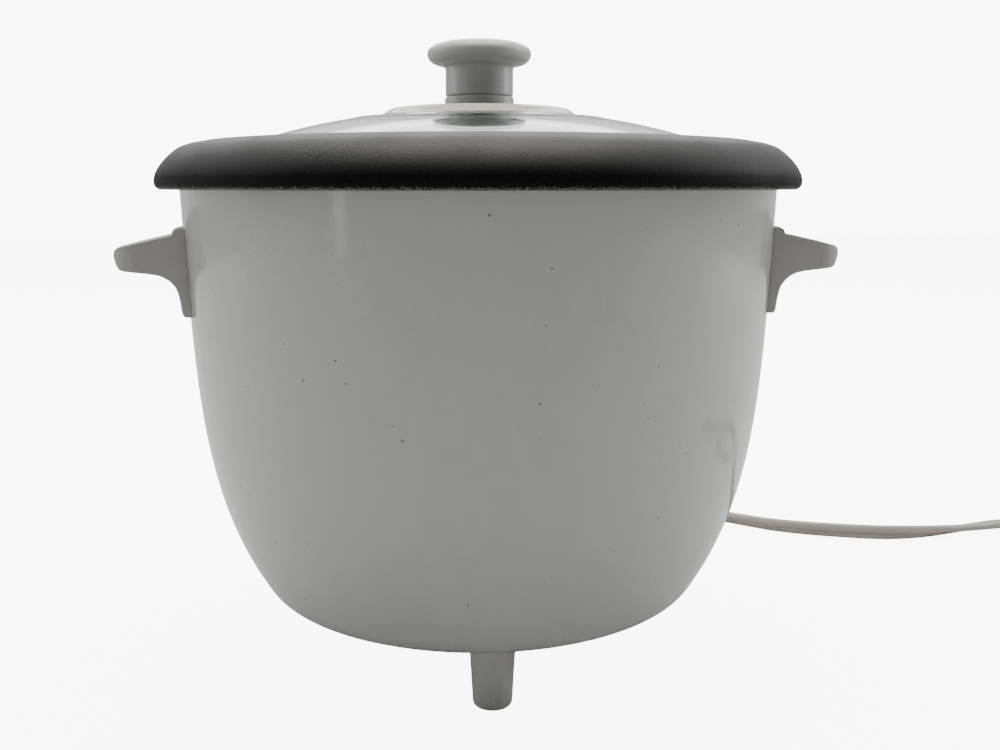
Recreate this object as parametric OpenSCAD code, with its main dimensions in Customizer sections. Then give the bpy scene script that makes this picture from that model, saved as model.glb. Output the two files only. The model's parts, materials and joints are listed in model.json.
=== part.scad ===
// Drum rice cooker with a lift-out pot, a glass lid, a cook lever and a flat two-core cord.
// Millimetres, +Z up. The origin is on the table under the middle of the body.
// The cook lever is at -Y, the two handles are at -X and +X.

/* [Body] */
// Radius of the painted body at its top
body_r = 118; // [96:1:142]
// Height of the painted body, top edge to underside
body_h = 171; // [150:1:210]
// Gap between the table and the underside of the body
foot_h = 21; // [14:1:26]
// Sheet thickness of the painted body
shell_t = 1; // [0.6:0.1:1.6]
// Width of the floor ring around the opening in the underside
floor_lip = 14.5; // [12:0.5:18]
// Sheet thickness of the inner liner
liner_t = 0.8; // [0.6:0.1:1.2]
// Air gap between the pot and the liner
liner_gap = 2.8; // [2:0.1:6]

/* [Pot] */
// Distance from the body's wall to the inside of the pot
wall_gap = 21; // [18:0.5:26]
// Sheet thickness of the pot
pot_t = 2.2; // [1.6:0.1:3]
// Radius of the pot's bottom corner
pot_corner = 24; // [14:1:34]
// How far the pot's flange reaches out over the body
flange_over = 9.4; // [7:0.5:14]
// Width of the seat that the lid rests on
seat_w = 7.4; // [5:0.1:9]
// Depth of the lid seat under the top of the flange
seat_drop = 9.3; // [9:0.1:14]
// Height of the flange from its lower edge to its top
flange_h = 17.5; // [16:0.5:24]

/* [Lid] */
// Glass thickness
glass_t = 3.6; // [3:0.1:5]
// Radius of the raised middle of the glass
crown_r = 36; // [28:1:44]
// Height of the raised middle over the edge of the glass
crown_h = 18.7; // [14:0.1:28]
// Radius of the steam hole
vent_r = 2.5; // [1.5:0.5:4]
// Radius of the knob's disc
knob_r = 20.8; // [17:0.1:28]
// Radius of the knob's stem
stem_r = 13.6; // [10:0.1:15]
// Height of the knob over its collar
knob_h = 21.3; // [16:0.1:30]
// Thickness of the collar under the knob
collar_t = 4.1; // [2:0.1:5]
// Radius of the lid screw
lid_screw_r = 2.5; // [2:0.1:3]

/* [Handles] */
// How far a handle reaches out from the body's top radius
handle_reach = 25; // [20:0.5:40]
// Width of a handle along the body
handle_w = 72; // [60:1:110]
// Depth of the lower end of a handle under the top of the body
handle_drop = 54; // [50:1:70]
// Height of the mounting face of a handle
handle_tall = 33; // [30:1:46]

/* [Heater] */
// Height of the top of the heating plate over the underside of the body
plate_rise = 49; // [48:0.5:62]
// How much smaller the heating plate is than the pot's inside, on the radius
plate_margin = 17; // [14:0.5:22]
// Thickness of the heating plate
plate_t = 12; // [10:0.5:14]
// Radius of the tube of the heating element
element_r = 3.6; // [3:0.1:4.5]
// Distance of the heating element from the edge of the heating plate
element_edge = 20; // [17:0.5:26]
// Radius of the temperature sensor's cap
sensor_r = 15; // [12:0.5:17]
// How far the sensor's cap sinks
sensor_travel = 3; // [1.5:0.5:3]

/* [Switch] */
// Distance of the rocker's pivot from the body's axis
pivot_y = 45; // [38:1:52]
// Angle the rocker turns when the lever is pressed
press_angle = 6; // [4:0.5:6]
// Radius of the pivot pin
pin_r = 1.5; // [1.2:0.1:2]
// Width of the rocker strip
rocker_w = 12; // [10:0.5:14]
// Width of the control panel
panel_w = 72; // [60:1:84]
// How far the control panel's front stands out from the body's top radius
panel_out = 3; // [2:0.5:6]
// Radius of a lamp lens
lamp_r = 4; // [3:0.5:5]

/* [Power cord] */
// Width of the flat cord
cord_w = 8; // [6:0.5:9]
// Thickness of the flat cord
cord_t = 4; // [3:0.5:5]

/* [Hidden] */
$fn = 96;

// Clearance of faces that meet inside one body, and of bodies that move past each other
touch = 0.05;
gap = 0.3;

// Body profile: a slight taper, a tuck towards the bottom and a round lower edge
taper = 0.05;
tuck = 0.22;
tuck_power = 4.5;
edge_start = 0.96;
wall_steps = 16;
edge_steps = 6;
shell_top = foot_h + body_h;
pot_r = body_r - wall_gap;
flange_r = body_r + flange_over;
handle_low = shell_top - handle_drop;
plate_top = foot_h + plate_rise;
plate_r = pot_r - plate_margin;
panel_r = body_r + panel_out;
function wall_r(t) = body_r * (1 - taper * t - tuck * pow(t, tuck_power));
function wall_slope(t) = body_r * (taper + tuck * tuck_power * pow(t, tuck_power - 1)) / body_h;
function wall_head(t) = atan(wall_slope(t));
function wall_pt(t, inset) =
    [wall_r(t) - inset * cos(wall_head(t)), shell_top - t * body_h + inset * sin(wall_head(t))];
function shell_r_at(z) = wall_r((shell_top - z) / body_h);
edge_head = wall_head(edge_start);
edge_rad = body_h * (1 - edge_start) / (1 - sin(edge_head));
edge_mid = [wall_r(edge_start) - edge_rad * cos(edge_head), foot_h + edge_rad];
base_hole_r = edge_mid[0] - floor_lip;
function edge_z(r) = edge_mid[1] - sqrt(pow(edge_rad, 2) - pow(r - edge_mid[0], 2));
function edge_pt(a, inset) = edge_mid + (edge_rad - inset) * [cos(a), -sin(a)];
function shell_line(inset) = concat(
    [for (i = [0:wall_steps]) wall_pt(edge_start * i / wall_steps, inset)],
    [for (i = [1:edge_steps]) edge_pt(edge_head + (90 - edge_head) * i / edge_steps, inset)]);

// Pressed sheet: a polygon of even thickness along a middle line, with mitred corners
function unit(v) = v / norm(v);
function ahead(p, i) = unit(i < len(p) - 1 ? p[i + 1] - p[i] : p[i] - p[i - 1]);
function behind(p, i) = unit(i > 0 ? p[i] - p[i - 1] : p[1] - p[0]);
function beside(p, i, k) =
    let (m = unit(ahead(p, i) + behind(p, i))) p[i] + [-m[1], m[0]] * k / (m * behind(p, i));
function sheet(p, t) = concat(
    [for (i = [0:len(p) - 1]) beside(p, i, t / 2)],
    [for (i = [len(p) - 1:-1:0]) beside(p, i, -t / 2)]);
function arc(c, r, a0, a1, n) = [for (i = [0:n]) let (a = a0 + (a1 - a0) * i / n) c + r * [cos(a), sin(a)]];

// Heights of the pot, its flange and the lid seat
flange_skirt = 6;
flange_low = shell_top - flange_skirt;
flange_top = flange_low + flange_h;
seat_z = flange_top - seat_drop;
liner_r = min(pot_r + pot_t + liner_gap, shell_r_at(plate_top - 8) - shell_t - liner_t - 1);
lid_r = pot_r + seat_w - 1.4;

// Pot middle line: bottom, corner, wall, lid seat, raised lip, sloping flange, rolled edge
pot_low = plate_top + gap + pot_t / 2;
pot_mid_r = pot_r + pot_t / 2;
lip_r = pot_r + seat_w + pot_t / 2;
lip_bend = 2.2;
flange_bend = flange_h * 0.64 - pot_t / 2;
flange_mid = [flange_r - pot_t / 2 - flange_bend, flange_low + 4.5];
lip_mid = [lip_r + lip_bend, flange_top - pot_t / 2 - lip_bend];
flange_tilt = 75;
flange_in = 16;
curl_bend = 1.6;
curl_mid = flange_mid + (flange_bend - curl_bend) * [cos(flange_in), -sin(flange_in)];
pot_path = concat(
    [[0, pot_low]],
    arc([pot_mid_r - pot_corner, pot_low + pot_corner], pot_corner, -90, 0, 8),
    arc([pot_mid_r + 1.4, seat_z - pot_t / 2 - 1.4], 1.4, 180, 90, 3),
    arc([lip_r - 1.4, seat_z - pot_t / 2 + 1.4], 1.4, -90, 0, 3),
    arc(lip_mid, lip_bend, 180, flange_tilt, 5),
    arc(flange_mid, flange_bend, flange_tilt, -flange_in, 9),
    arc(curl_mid, curl_bend, -flange_in - 30, -flange_in - 150, 5));

// Lid: a raised crown, then a dome that steepens to the edge
lid_edge_z = seat_z + gap + glass_t / 2 + 0.5;
crown_z = lid_edge_z + crown_h;
crown_step = 2.9;
dome_start = crown_r + 3;
function dome_z(r) = let (u = (r - dome_start) / (lid_r - dome_start))
    crown_z - crown_step - (crown_h - crown_step) * (0.40 * u + 0.60 * u * u);
glass_top = crown_z + glass_t / 2;
glass_low = crown_z - glass_t / 2;
gasket_t = 0.6;
collar_low = glass_top + gasket_t;
knob_low = collar_low + collar_t;
knob_top = knob_low + knob_h;
knob_disc_t = 10;
under_hub = 3.4;
under_disc_t = 2;
under_low = glass_low - under_hub - under_disc_t;
glass_hole_r = lid_screw_r + 1.2;
lid_screw_up = 12;

// Feet at three corners, the rear one under +Y
foot_ring = edge_mid[0];
foot_top_r = 8.5;
foot_low_r = 7.2;
foot_bevel = 1.2;
foot_seat = edge_z(foot_ring + 3.5) + shell_t + 0.1;
foot_angles = [90, 210, 330];
foot_screw_r = 2;

// Liner floor, heater supports and screws
liner_floor = plate_top - 8;
leg_ring = (base_hole_r + edge_mid[0]) / 2;
leg_w = 12;
leg_t = 1.5;
leg_in = 5;
leg_out = 3;
plate_low = plate_top - plate_t;
base_t = 1.2;
base_r = edge_mid[0] - 3.5;
deck = foot_h + touch;
leg_angles = [50, 170, 290];
screw_angles = [15, 135, 255];
// The element stays inside the legs, and the plate's lip outside them
element_ring = min(plate_r - element_edge, leg_ring - leg_in - element_r - 1);
lip_w = min(5, plate_r - leg_ring - leg_out - 0.4);

// Sensor stack under the middle of the heating plate
cap_top = plate_top - gap;
cap_t = 3;
cap_wall = 2;
cap_len = 20;
cap_low = cap_top - cap_len;
housing_in = sensor_r + 0.5;
housing_t = 1.2;
housing_low = plate_low - 17;
ferrite_t = 5.7;
ferrite_low = cap_top - cap_t - ferrite_t;
magnet_rise = pivot_y * press_angle * PI / 180;
magnet_t = 4;
magnet_r = sensor_r - 4;
magnet_top = ferrite_low - sensor_travel - gap - magnet_rise;
magnet_low = magnet_top - magnet_t;
rod_r = 2;
rod_hole_r = 3;
collar_r = 4.5;
rod_collar_top = housing_low - magnet_rise - gap;
rod_collar_t = 1.2;
rocker_t = 2.2;
rocker_top = rod_collar_top - rod_collar_t - 1;
rocker_low = rocker_top - rocker_t;
pivot_z = rocker_low + rocker_t / 2;

// Rocker outside the pivot, its riser and the key at the front
key_z = foot_h + 34;
riser_y = shell_r_at(rocker_low) - shell_t - 8;
key_w = 20;
key_tall = 9;
key_in = shell_r_at(key_z + key_tall / 2) + 1.5;
key_out = panel_r + 6;
arm_end = key_in + 10;
key_slot_low = key_z - key_tall / 2 - (key_out - pivot_y) * sin(press_angle) - 1.5;
key_slot_top = key_z + key_tall / 2 + 1.5;
switch_y = 70;
plunger_travel = (switch_y - pivot_y) * press_angle * PI / 180;
plunger_top = rocker_low - 0.6;
plunger_r = 2;
plunger_deep = 5;
switch_top = plunger_top - plunger_travel - 0.4;
plunger_low = switch_top - plunger_deep + plunger_travel + gap;
cheek_gap = 0.5;
cheek_t = 1.5;

// Electrical pieces over the base
fuse_r = 2.2;
fuse_len = 22;
fuse_at = [30, 30, plate_low - 7];
fuse_end = (fuse_len / 2 + touch) / sqrt(2);
block_at = [-42, -22, deck];
wire_w = 2.2;

// Control panel
panel_low = key_slot_low - 5;
panel_top = key_slot_top + 26;
panel_round = 8;
panel_wall = 2.2;
lamp_x = 17;
lamp_z = key_slot_top + 12;
panel_screw_x = 28;
panel_screw_z = key_z;
panel_screw_r = 1.5;

// Handle profile around the body's axis, outside point first
handle_top = handle_low + handle_tall;
tip_r = body_r + handle_reach;
handle_screw_y = 20;
handle_screw_z = handle_low + 21;
handle_screw_r = 2;

// Cord exit low on the body, a third of a turn from the rear
exit_turn = 35;
exit_z = foot_h + 15;
exit_dir = [-sin(exit_turn), -cos(exit_turn)];
exit_r = shell_r_at(exit_z);
relief_len = 28;
relief_end = exit_r + relief_len;
relief_pt = [exit_dir[0] * relief_end, exit_dir[1] * relief_end, exit_z];

// Points of the cord from the end of its sleeve to the coil, and from the coil to the plug
cord_z = cord_t / 2 + 0.1;
cord_points = [[-79, -112, 32], [-87, -121, 24], [-95, -128, 14], [-104, -134, 6], [-115, -137, cord_z],
    [-128, -138, cord_z], [-142, -136, cord_z], [-158, -130, cord_z], [-175, -122, cord_z],
    [-192, -115, cord_z], [-208, -110, cord_z], [-226, -106, cord_z], [-244, -104, cord_z],
    [-262, -104, cord_z], [-280, -104, cord_z]];
coil_mid = [-332, -62];
coil_r = 42;
coil_half = 10;
coil_low = 0.9;
coil_tall = 9;
coil_edge = sqrt(pow(coil_r + coil_half, 2) - pow(coil_r, 2));
cord_route = concat([relief_pt], cord_points, [[coil_mid[0] + coil_edge, coil_mid[1] - coil_r, cord_z]]);
tail_x = coil_mid[0] - coil_r;
tail_start = coil_mid[1] + coil_edge;
tail_end = 2;
plug_len = 34;
plug_w = 26;
plug_t = 13;
blade_gap = 12.7;
blade_len = 17;

// Oval tube with eight sides, swept along a list of points that never run straight up
function tangent(p, i) = unit(p[min(i + 1, len(p) - 1)] - p[max(i - 1, 0)]);
function side_of(t) = unit(cross([0, 0, 1], t));
function ring_at(p, i, w, h) = let (t = tangent(p, i), s = side_of(t), u = cross(t, s))
    [for (k = [0:7]) let (a = 45 * k + 22.5) p[i] + (s * w * cos(a) + u * h * sin(a)) / 2 / cos(22.5)];
module oval_tube(p, w, h) {
    rings = len(p);
    pts = [for (i = [0:rings - 1]) each ring_at(p, i, w, h)];
    walls = [for (i = [0:rings - 2]) for (k = [0:7]) let (n = (k + 1) % 8)
        [8 * i + k, 8 * i + n, 8 * (i + 1) + n, 8 * (i + 1) + k]];
    first = [[for (k = [7:-1:0]) k]];
    last = [[for (k = [0:7]) 8 * (rings - 1) + k]];
    polyhedron(pts, concat(first, walls, last));
}

module at_angle(a, r) {
    rotate([0, 0, a])
        translate([r, 0, 0])
            children();
}

// The space that the painted body encloses, grown outwards by the given amount
module body_solid(grow) {
    rotate_extrude()
        polygon(concat([[0, shell_top + grow]], shell_line(-grow), [[0, foot_h - grow]]));
}

// A machine screw along +Z with its head's underside at the origin
module screw(r, len, head_r, head_t) {
    translate([0, 0, -head_t])
        cylinder(r = head_r, h = head_t);
    cylinder(r = r, h = len);
}

module outer_shell() {
    lip_in = liner_r + liner_t + touch;
    color([0.86, 0.87, 0.85])
        difference() {
            rotate_extrude()
                polygon(concat(
                    [[lip_in, shell_top]],
                    shell_line(0),
                    [[base_hole_r, foot_h], [base_hole_r, foot_h + shell_t]],
                    [for (i = [len(shell_line(0)) - 1:-1:1]) shell_line(shell_t)[i]],
                    [[body_r - shell_t, shell_top - shell_t], [lip_in, shell_top - shell_t]]));
            // Slot for the rocker
            translate([-rocker_w / 2 - 2, -body_r, key_slot_low + 2])
                cube([rocker_w + 4, body_r - riser_y, key_slot_top - key_slot_low - 6]);
            // Cord hole
            rotate([0, 0, -90 - exit_turn])
                translate([exit_r - 20, 0, exit_z])
                    rotate([0, 90, 0])
                        cylinder(r = cord_w / 2 + 2 + touch, h = 40);
            for (a = foot_angles)
                at_angle(a, foot_ring)
                    cylinder(r = foot_screw_r + touch, h = foot_h + 12);
            for (s = [-1, 1], y = [-1, 1])
                translate([s * body_r, y * handle_screw_y, handle_screw_z])
                    rotate([0, 90, 0])
                        cylinder(r = handle_screw_r + touch, h = 60, center = true);
            for (s = [-1, 1])
                translate([s * panel_screw_x, -panel_r, panel_screw_z])
                    rotate([-90, 0, 0])
                        cylinder(r = panel_screw_r + touch, h = 40);
            for (a = screw_angles)
                at_angle(a, leg_ring)
                    cylinder(r = 1.5 + touch, h = foot_h + 12);
        }
}

module inner_liner() {
    mid = liner_r + liner_t / 2;
    floor_in = plate_r + 3;
    color([0.72, 0.73, 0.74])
        rotate_extrude()
            polygon(sheet([[floor_in, liner_floor], [mid, liner_floor], [mid, shell_top - shell_t - touch - 2],
                [mid, shell_top - shell_t - touch]], liner_t));
}

module base_plate() {
    slot_ring = base_hole_r - 18;
    color([0.66, 0.67, 0.68])
        difference() {
            translate([0, 0, foot_h - base_t - touch])
                cylinder(r = base_r, h = base_t);
            for (a = [0:20:359])
                at_angle(a, slot_ring)
                    translate([-8, -1.5, foot_h - base_t - 1])
                        cube([16, 3, base_t + 2]);
            for (a = screw_angles)
                at_angle(a, leg_ring)
                    cylinder(r = 1.5 + touch, h = foot_h + 2);
            for (a = foot_angles)
                at_angle(a, foot_ring)
                    cylinder(r = foot_top_r + 0.4, h = foot_h + 2);
        }
}

module base_screws() {
    color([0.6, 0.61, 0.62])
        for (a = screw_angles)
            at_angle(a, leg_ring)
                translate([0, 0, foot_h - base_t - 2 * touch])
                    screw(1.5, 6, 3, 1.6);
}

module foot(a) {
    color([0.55, 0.55, 0.54])
        difference() {
            at_angle(a, foot_ring)
                rotate_extrude()
                    polygon(concat([[0, 0]],
                        arc([foot_low_r - foot_bevel, foot_bevel], foot_bevel, -90, 0, 4),
                        [[foot_top_r, foot_h], [foot_top_r, foot_h + 14], [0, foot_h + 14]]));
            body_solid(touch);
            at_angle(a, foot_ring)
                translate([0, 0, foot_seat - 13])
                    cylinder(r = foot_screw_r + touch, h = foot_h + 12);
        }
}

module foot_screws() {
    color([0.6, 0.61, 0.62])
        for (a = foot_angles)
            at_angle(a, foot_ring)
                translate([0, 0, foot_seat])
                    mirror([0, 0, 1])
                        screw(foot_screw_r, 12, 3.5, 2);
}

module handle(s) {
    root = body_r + 1;
    under = [[tip_r - 7.5, handle_low + 16.9], [root + 10.3, handle_low + 16.1], [root + 7, handle_low + 15.3],
        [root + 4.2, handle_low + 13.5], [root + 2, handle_low + 10.8], [root + 1, handle_low + 7.8],
        [root + 0.5, handle_low + 4.4], [root + 0.1, handle_low + 1], [root - 1, handle_low]];
    over = [[root + 1, handle_top], [root + 2.2, handle_top - 0.8], [root + 3, handle_top - 2.6]];
    tip = [[tip_r - 1.5, handle_low + 25.8], [tip_r - 0.2, handle_low + 24.6], [tip_r - 0.8, handle_low + 20.5],
        [tip_r - 1.8, handle_low + 17.9]];
    half = handle_w / 2;
    color([0.85, 0.85, 0.83])
        difference() {
            intersection() {
                rotate_extrude()
                    polygon(concat([[body_r * 0.7, handle_top]], over, tip, under, [[body_r * 0.7, handle_low]]));
                translate([0, 0, handle_low - 5])
                    linear_extrude(handle_tall + 10)
                        polygon(concat(
                            [[s * body_r * 0.7, -half], [s * (tip_r - 18), -half]],
                            [for (a = [-80:20:0]) [s * (tip_r - 12 + 12 * cos(a)), -half + 14 + 12 * sin(a)]],
                            [for (a = [0:20:80]) [s * (tip_r - 12 + 12 * cos(a)), half - 14 + 12 * sin(a)]],
                            [[s * (tip_r - 18), half], [s * body_r * 0.7, half]]));
            }
            body_solid(touch);
            for (y = [-1, 1])
                translate([s * body_r, y * handle_screw_y, handle_screw_z])
                    rotate([0, 90, 0])
                        cylinder(r = handle_screw_r + touch, h = 22, center = true);
        }
}

module handle_screws() {
    seat = sqrt(pow(shell_r_at(handle_screw_z) - shell_t, 2) - pow(handle_screw_y, 2)) - 1.5;
    color([0.6, 0.61, 0.62])
        for (s = [-1, 1], y = [-1, 1])
            translate([s * seat, y * handle_screw_y, handle_screw_z])
                rotate([0, s * 90, 0])
                    screw(handle_screw_r, 14, 3.6, 2);
}

module heater_plate() {
    color([0.74, 0.74, 0.75])
        difference() {
            rotate_extrude()
                polygon([[sensor_r + 2, plate_low + 3], [plate_r - lip_w, plate_low + 3], [plate_r - lip_w, plate_low],
                    [plate_r - 1, plate_low], [plate_r, plate_low + 1], [plate_r, plate_top - 3],
                    [plate_r - 3, plate_top], [sensor_r + 2, plate_top]]);
            translate([0, 0, plate_low + 3])
                rotate_extrude()
                    translate([element_ring, 0])
                        circle(r = element_r + touch, $fn = 48);
            for (a = leg_angles)
                at_angle(a, leg_ring)
                    cylinder(r = 2 + touch, h = plate_low + 7);
        }
}

module heater_element() {
    color([0.35, 0.35, 0.36]) {
        translate([0, 0, plate_low + 3])
            rotate([0, 0, 20])
                rotate_extrude(angle = 320)
                    translate([element_ring, 0])
                        circle(r = element_r, $fn = 48);
        for (a = [20, 340])
            at_angle(a, element_ring)
                translate([0, 0, plate_low - 9])
                    cylinder(r = element_r * 0.6, h = 10);
    }
}

module heater_legs() {
    color([0.66, 0.67, 0.68])
        for (a = leg_angles)
            at_angle(a, leg_ring)
                difference() {
                    translate([0, 0, foot_h + shell_t + touch])
                        union() {
                            translate([-leg_in, -leg_w / 2, 0])
                                cube([2 * leg_in, leg_w, leg_t]);
                            translate([-leg_in, -leg_w / 2, 0])
                                cube([leg_t, leg_w, plate_low + 3 - foot_h - shell_t - 2 * touch]);
                            translate([-leg_in, -leg_w / 2, plate_low + 3 - foot_h - shell_t - leg_t - 2 * touch])
                                cube([leg_in + leg_out, leg_w, leg_t]);
                        }
                    cylinder(r = 2 + touch, h = plate_top);
                }
}

module heater_screws() {
    color([0.6, 0.61, 0.62])
        for (a = leg_angles)
            at_angle(a, leg_ring)
                translate([0, 0, plate_low + 3 - leg_t - 3 * touch])
                    screw(2, leg_t + 3.5, 2.6, 1.8);
}

module thermostat_housing() {
    color([0.66, 0.67, 0.68])
        difference() {
            union() {
                translate([0, 0, housing_low])
                    cylinder(r = housing_in + housing_t, h = plate_low + 3 - housing_low - touch);
                translate([0, 0, plate_low + 3 - leg_t - touch])
                    cylinder(r = housing_in + 8, h = leg_t);
            }
            translate([0, 0, housing_low + housing_t])
                cylinder(r = housing_in, h = plate_t + 30);
            translate([0, 0, housing_low - 1])
                cylinder(r = rod_hole_r, h = 4);
        }
}

module keep_warm_band() {
    color([0.78, 0.70, 0.52])
        translate([0, 0, liner_floor + 46])
            difference() {
                cylinder(r = liner_r + liner_t + 1.8, h = 24);
                translate([0, 0, -1])
                    cylinder(r = liner_r + liner_t + touch, h = 26);
            }
}

module thermal_fuse() {
    color([0.85, 0.85, 0.83])
        translate(fuse_at)
            rotate([0, 90, 135])
                cylinder(r = fuse_r, h = fuse_len, center = true);
}

module fuse_clip() {
    color([0.66, 0.67, 0.68])
        translate(fuse_at)
            rotate([0, 0, 135])
                difference() {
                    union() {
                        rotate([0, 90, 0])
                            cylinder(r = fuse_r + 1, h = 6, center = true);
                        translate([-3, -0.6, 0])
                            cube([6, 1.2, plate_low + 3 - touch - fuse_at[2]]);
                    }
                    rotate([0, 90, 0])
                        cylinder(r = fuse_r + touch, h = 8, center = true);
                }
}

module terminal_block() {
    color([0.92, 0.91, 0.87])
        translate(block_at)
            difference() {
                translate([-11, -8, 0])
                    cube([22, 16, 12]);
                for (x = [-5.5, 5.5])
                    translate([x, 0, 5])
                        cylinder(r = 2.6, h = 10);
            }
}

module lead_wires() {
    near = fuse_at + fuse_end * [-1, 1, 0];
    far = fuse_at + fuse_end * [1, -1, 0];
    pin_x = element_ring * cos(20);
    pin_y = element_ring * sin(20);
    pin_z = plate_low - 9 - wire_w / 2 - 2 * touch;
    gland = exit_dir * (exit_r - 3 - touch);
    mid = (gland + [block_at[0], block_at[1]]) / 2;
    color([0.75, 0.2, 0.15]) {
        oval_tube([block_at + [11 + touch, 4, 6], [-22, -2, 26], [-16, 24, 34], [-2, 46, 44],
            near + [-9, 9, 0], near], wire_w, wire_w);
        oval_tube([far, far + [7, -7, 0], [pin_x + 2, pin_y - 3, pin_z]], wire_w, wire_w);
        oval_tube([block_at + [11 + touch, -4, 6], [-26, -38, 24], [-18, -58, 23], [14, -58, 23],
            [40, -44, 36], [pin_x, -pin_y - 3, pin_z], [pin_x, -pin_y + 2, pin_z]], wire_w, wire_w);
        oval_tube([[gland[0] - 1.6, gland[1] + 1, exit_z], [mid[0] - 3, mid[1], exit_z - 3],
            block_at + [-3, -8 - touch, 6]], wire_w, wire_w);
        oval_tube([[gland[0] + 1.6, gland[1] - 1, exit_z], [mid[0] + 3, mid[1], exit_z - 3],
            block_at + [4, -8 - touch, 6]], wire_w, wire_w);
    }
}

module panel_outline(inset) {
    w = panel_w / 2 - inset;
    r = panel_round - inset;
    lo = panel_low + inset;
    hi = panel_top - inset;
    polygon(concat(arc([w - r, hi - r], r, 0, 90, 6), arc([-w + r, hi - r], r, 90, 180, 6),
        arc([-w + r, lo + r], r, 180, 270, 6), arc([w - r, lo + r], r, 270, 360, 6)));
}

module panel_block(inset, front_r, depth) {
    intersection() {
        translate([0, 0, panel_low - 5])
            cylinder(r = front_r, h = panel_top - panel_low + 10);
        translate([0, -depth, 0])
            rotate([90, 0, 0])
                linear_extrude(front_r)
                    panel_outline(inset);
    }
}

module control_panel() {
    color([0.87, 0.87, 0.85])
        difference() {
            union() {
                difference() {
                    panel_block(0, panel_r, riser_y - 20);
                    panel_block(panel_wall, panel_r - panel_wall, riser_y - 21);
                }
                intersection() {
                    panel_block(0, panel_r, riser_y - 20);
                    for (s = [-1, 1])
                        translate([s * panel_screw_x, -panel_r, panel_screw_z])
                            rotate([-90, 0, 0])
                                cylinder(r = 4, h = 40);
                }
            }
            body_solid(touch);
            translate([-key_w / 2 - 1, -panel_r - 5, key_slot_low])
                cube([key_w + 2, 14, key_slot_top - key_slot_low]);
            for (s = [-1, 1])
                translate([s * lamp_x, -panel_r - 5, lamp_z])
                    rotate([-90, 0, 0])
                        cylinder(r = lamp_r + touch, h = 14);
            for (s = [-1, 1])
                translate([s * panel_screw_x, -panel_r + 5, panel_screw_z])
                    rotate([-90, 0, 0])
                        cylinder(r = panel_screw_r + touch, h = 40);
        }
}

module panel_screws() {
    seat = sqrt(pow(shell_r_at(panel_screw_z) - shell_t, 2) - pow(panel_screw_x, 2)) - 2.5;
    color([0.6, 0.61, 0.62])
        for (s = [-1, 1])
            translate([s * panel_screw_x, -seat, panel_screw_z])
                rotate([90, 0, 0])
                    screw(panel_screw_r, 11, 3, 1.6);
}

module lens(s) {
    front = sqrt(pow(panel_r, 2) - pow(lamp_x, 2));
    translate([s * lamp_x, -front + 3.5, lamp_z])
        rotate([90, 0, 0]) {
            cylinder(r = lamp_r, h = 5);
            translate([0, 0, 5])
                cylinder(r1 = lamp_r, r2 = lamp_r * 0.6, h = 1);
        }
}

module lens_cook() {
    color([0.85, 0.25, 0.15])
        lens(1);
}

module lens_warm() {
    color([0.9, 0.6, 0.15])
        lens(-1);
}

module neon_lamps() {
    back = sqrt(pow(panel_r, 2) - pow(lamp_x, 2)) - 3.5 - touch;
    color([0.9, 0.85, 0.8])
        for (s = [-1, 1])
            translate([s * lamp_x, -back + 2, lamp_z])
                rotate([0, 90, 0])
                    cylinder(r = 2, h = 10, center = true);
}

module pivot_bracket() {
    inner = rocker_w / 2 + cheek_gap;
    color([0.66, 0.67, 0.68])
        difference() {
            translate([0, -pivot_y, deck])
                union() {
                    for (s = [-1, 1])
                        translate([s * (inner + cheek_t / 2), 0, (pivot_z + 5 - deck) / 2])
                            cube([cheek_t, 12, pivot_z + 5 - deck], center = true);
                    translate([-inner - cheek_t, -6, 0])
                        cube([2 * (inner + cheek_t), 12, cheek_t]);
                }
            translate([0, -pivot_y, pivot_z])
                rotate([0, 90, 0])
                    cylinder(r = pin_r + touch, h = 40, center = true);
        }
}

module pivot_pin() {
    half = rocker_w / 2 + cheek_gap + cheek_t + 1;
    color([0.75, 0.75, 0.76])
        translate([0, -pivot_y, pivot_z])
            rotate([0, 90, 0])
                cylinder(r = pin_r, h = 2 * half, center = true);
}

module switch_body() {
    color([0.16, 0.16, 0.17])
        difference() {
            translate([-8, -switch_y - 4.5, deck + shell_t])
                cube([24, 9, switch_top - deck - shell_t]);
            translate([0, -switch_y, switch_top - plunger_deep])
                cylinder(r = plunger_r + gap, h = 8);
        }
}

module switch_plunger() {
    color([0.75, 0.2, 0.15])
        translate([0, -switch_y, plunger_low])
            cylinder(r = plunger_r, h = plunger_top - plunger_low);
}

module rocker() {
    w = rocker_w;
    color([0.66, 0.67, 0.68])
        difference() {
            union() {
                translate([-w / 2, -riser_y, rocker_low])
                    cube([w, riser_y + 8, rocker_t]);
                translate([-w / 2, -riser_y, rocker_low])
                    cube([w, rocker_t, key_z + rocker_t / 2 - rocker_low]);
                translate([-w / 2, -arm_end, key_z - rocker_t / 2])
                    cube([w, arm_end - riser_y + rocker_t, rocker_t]);
                translate([0, -pivot_y, pivot_z])
                    rotate([0, 90, 0])
                        cylinder(r = pin_r + 1.8, h = w, center = true);
            }
            translate([0, -pivot_y, pivot_z])
                rotate([0, 90, 0])
                    cylinder(r = pin_r + 0.05, h = w + 2, center = true);
            translate([0, 0, rocker_low - 2])
                cylinder(r = rod_r + 1.2, h = rocker_t + 4);
        }
}

module lever_key() {
    color([0.2, 0.2, 0.21])
        difference() {
            translate([-key_w / 2, -key_out, key_z - key_tall / 2])
                cube([key_w, key_out - key_in, key_tall]);
            translate([-rocker_w / 2 - touch, -arm_end - touch, key_z - rocker_t / 2 - touch])
                cube([rocker_w + 2 * touch, 20, rocker_t + 2 * touch]);
        }
}

module magnet() {
    color([0.25, 0.25, 0.27])
        translate([0, 0, magnet_low])
            difference() {
                cylinder(r = magnet_r, h = magnet_t);
                translate([0, 0, -1])
                    cylinder(r = rod_r + touch, h = magnet_t + 2);
            }
}

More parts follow.
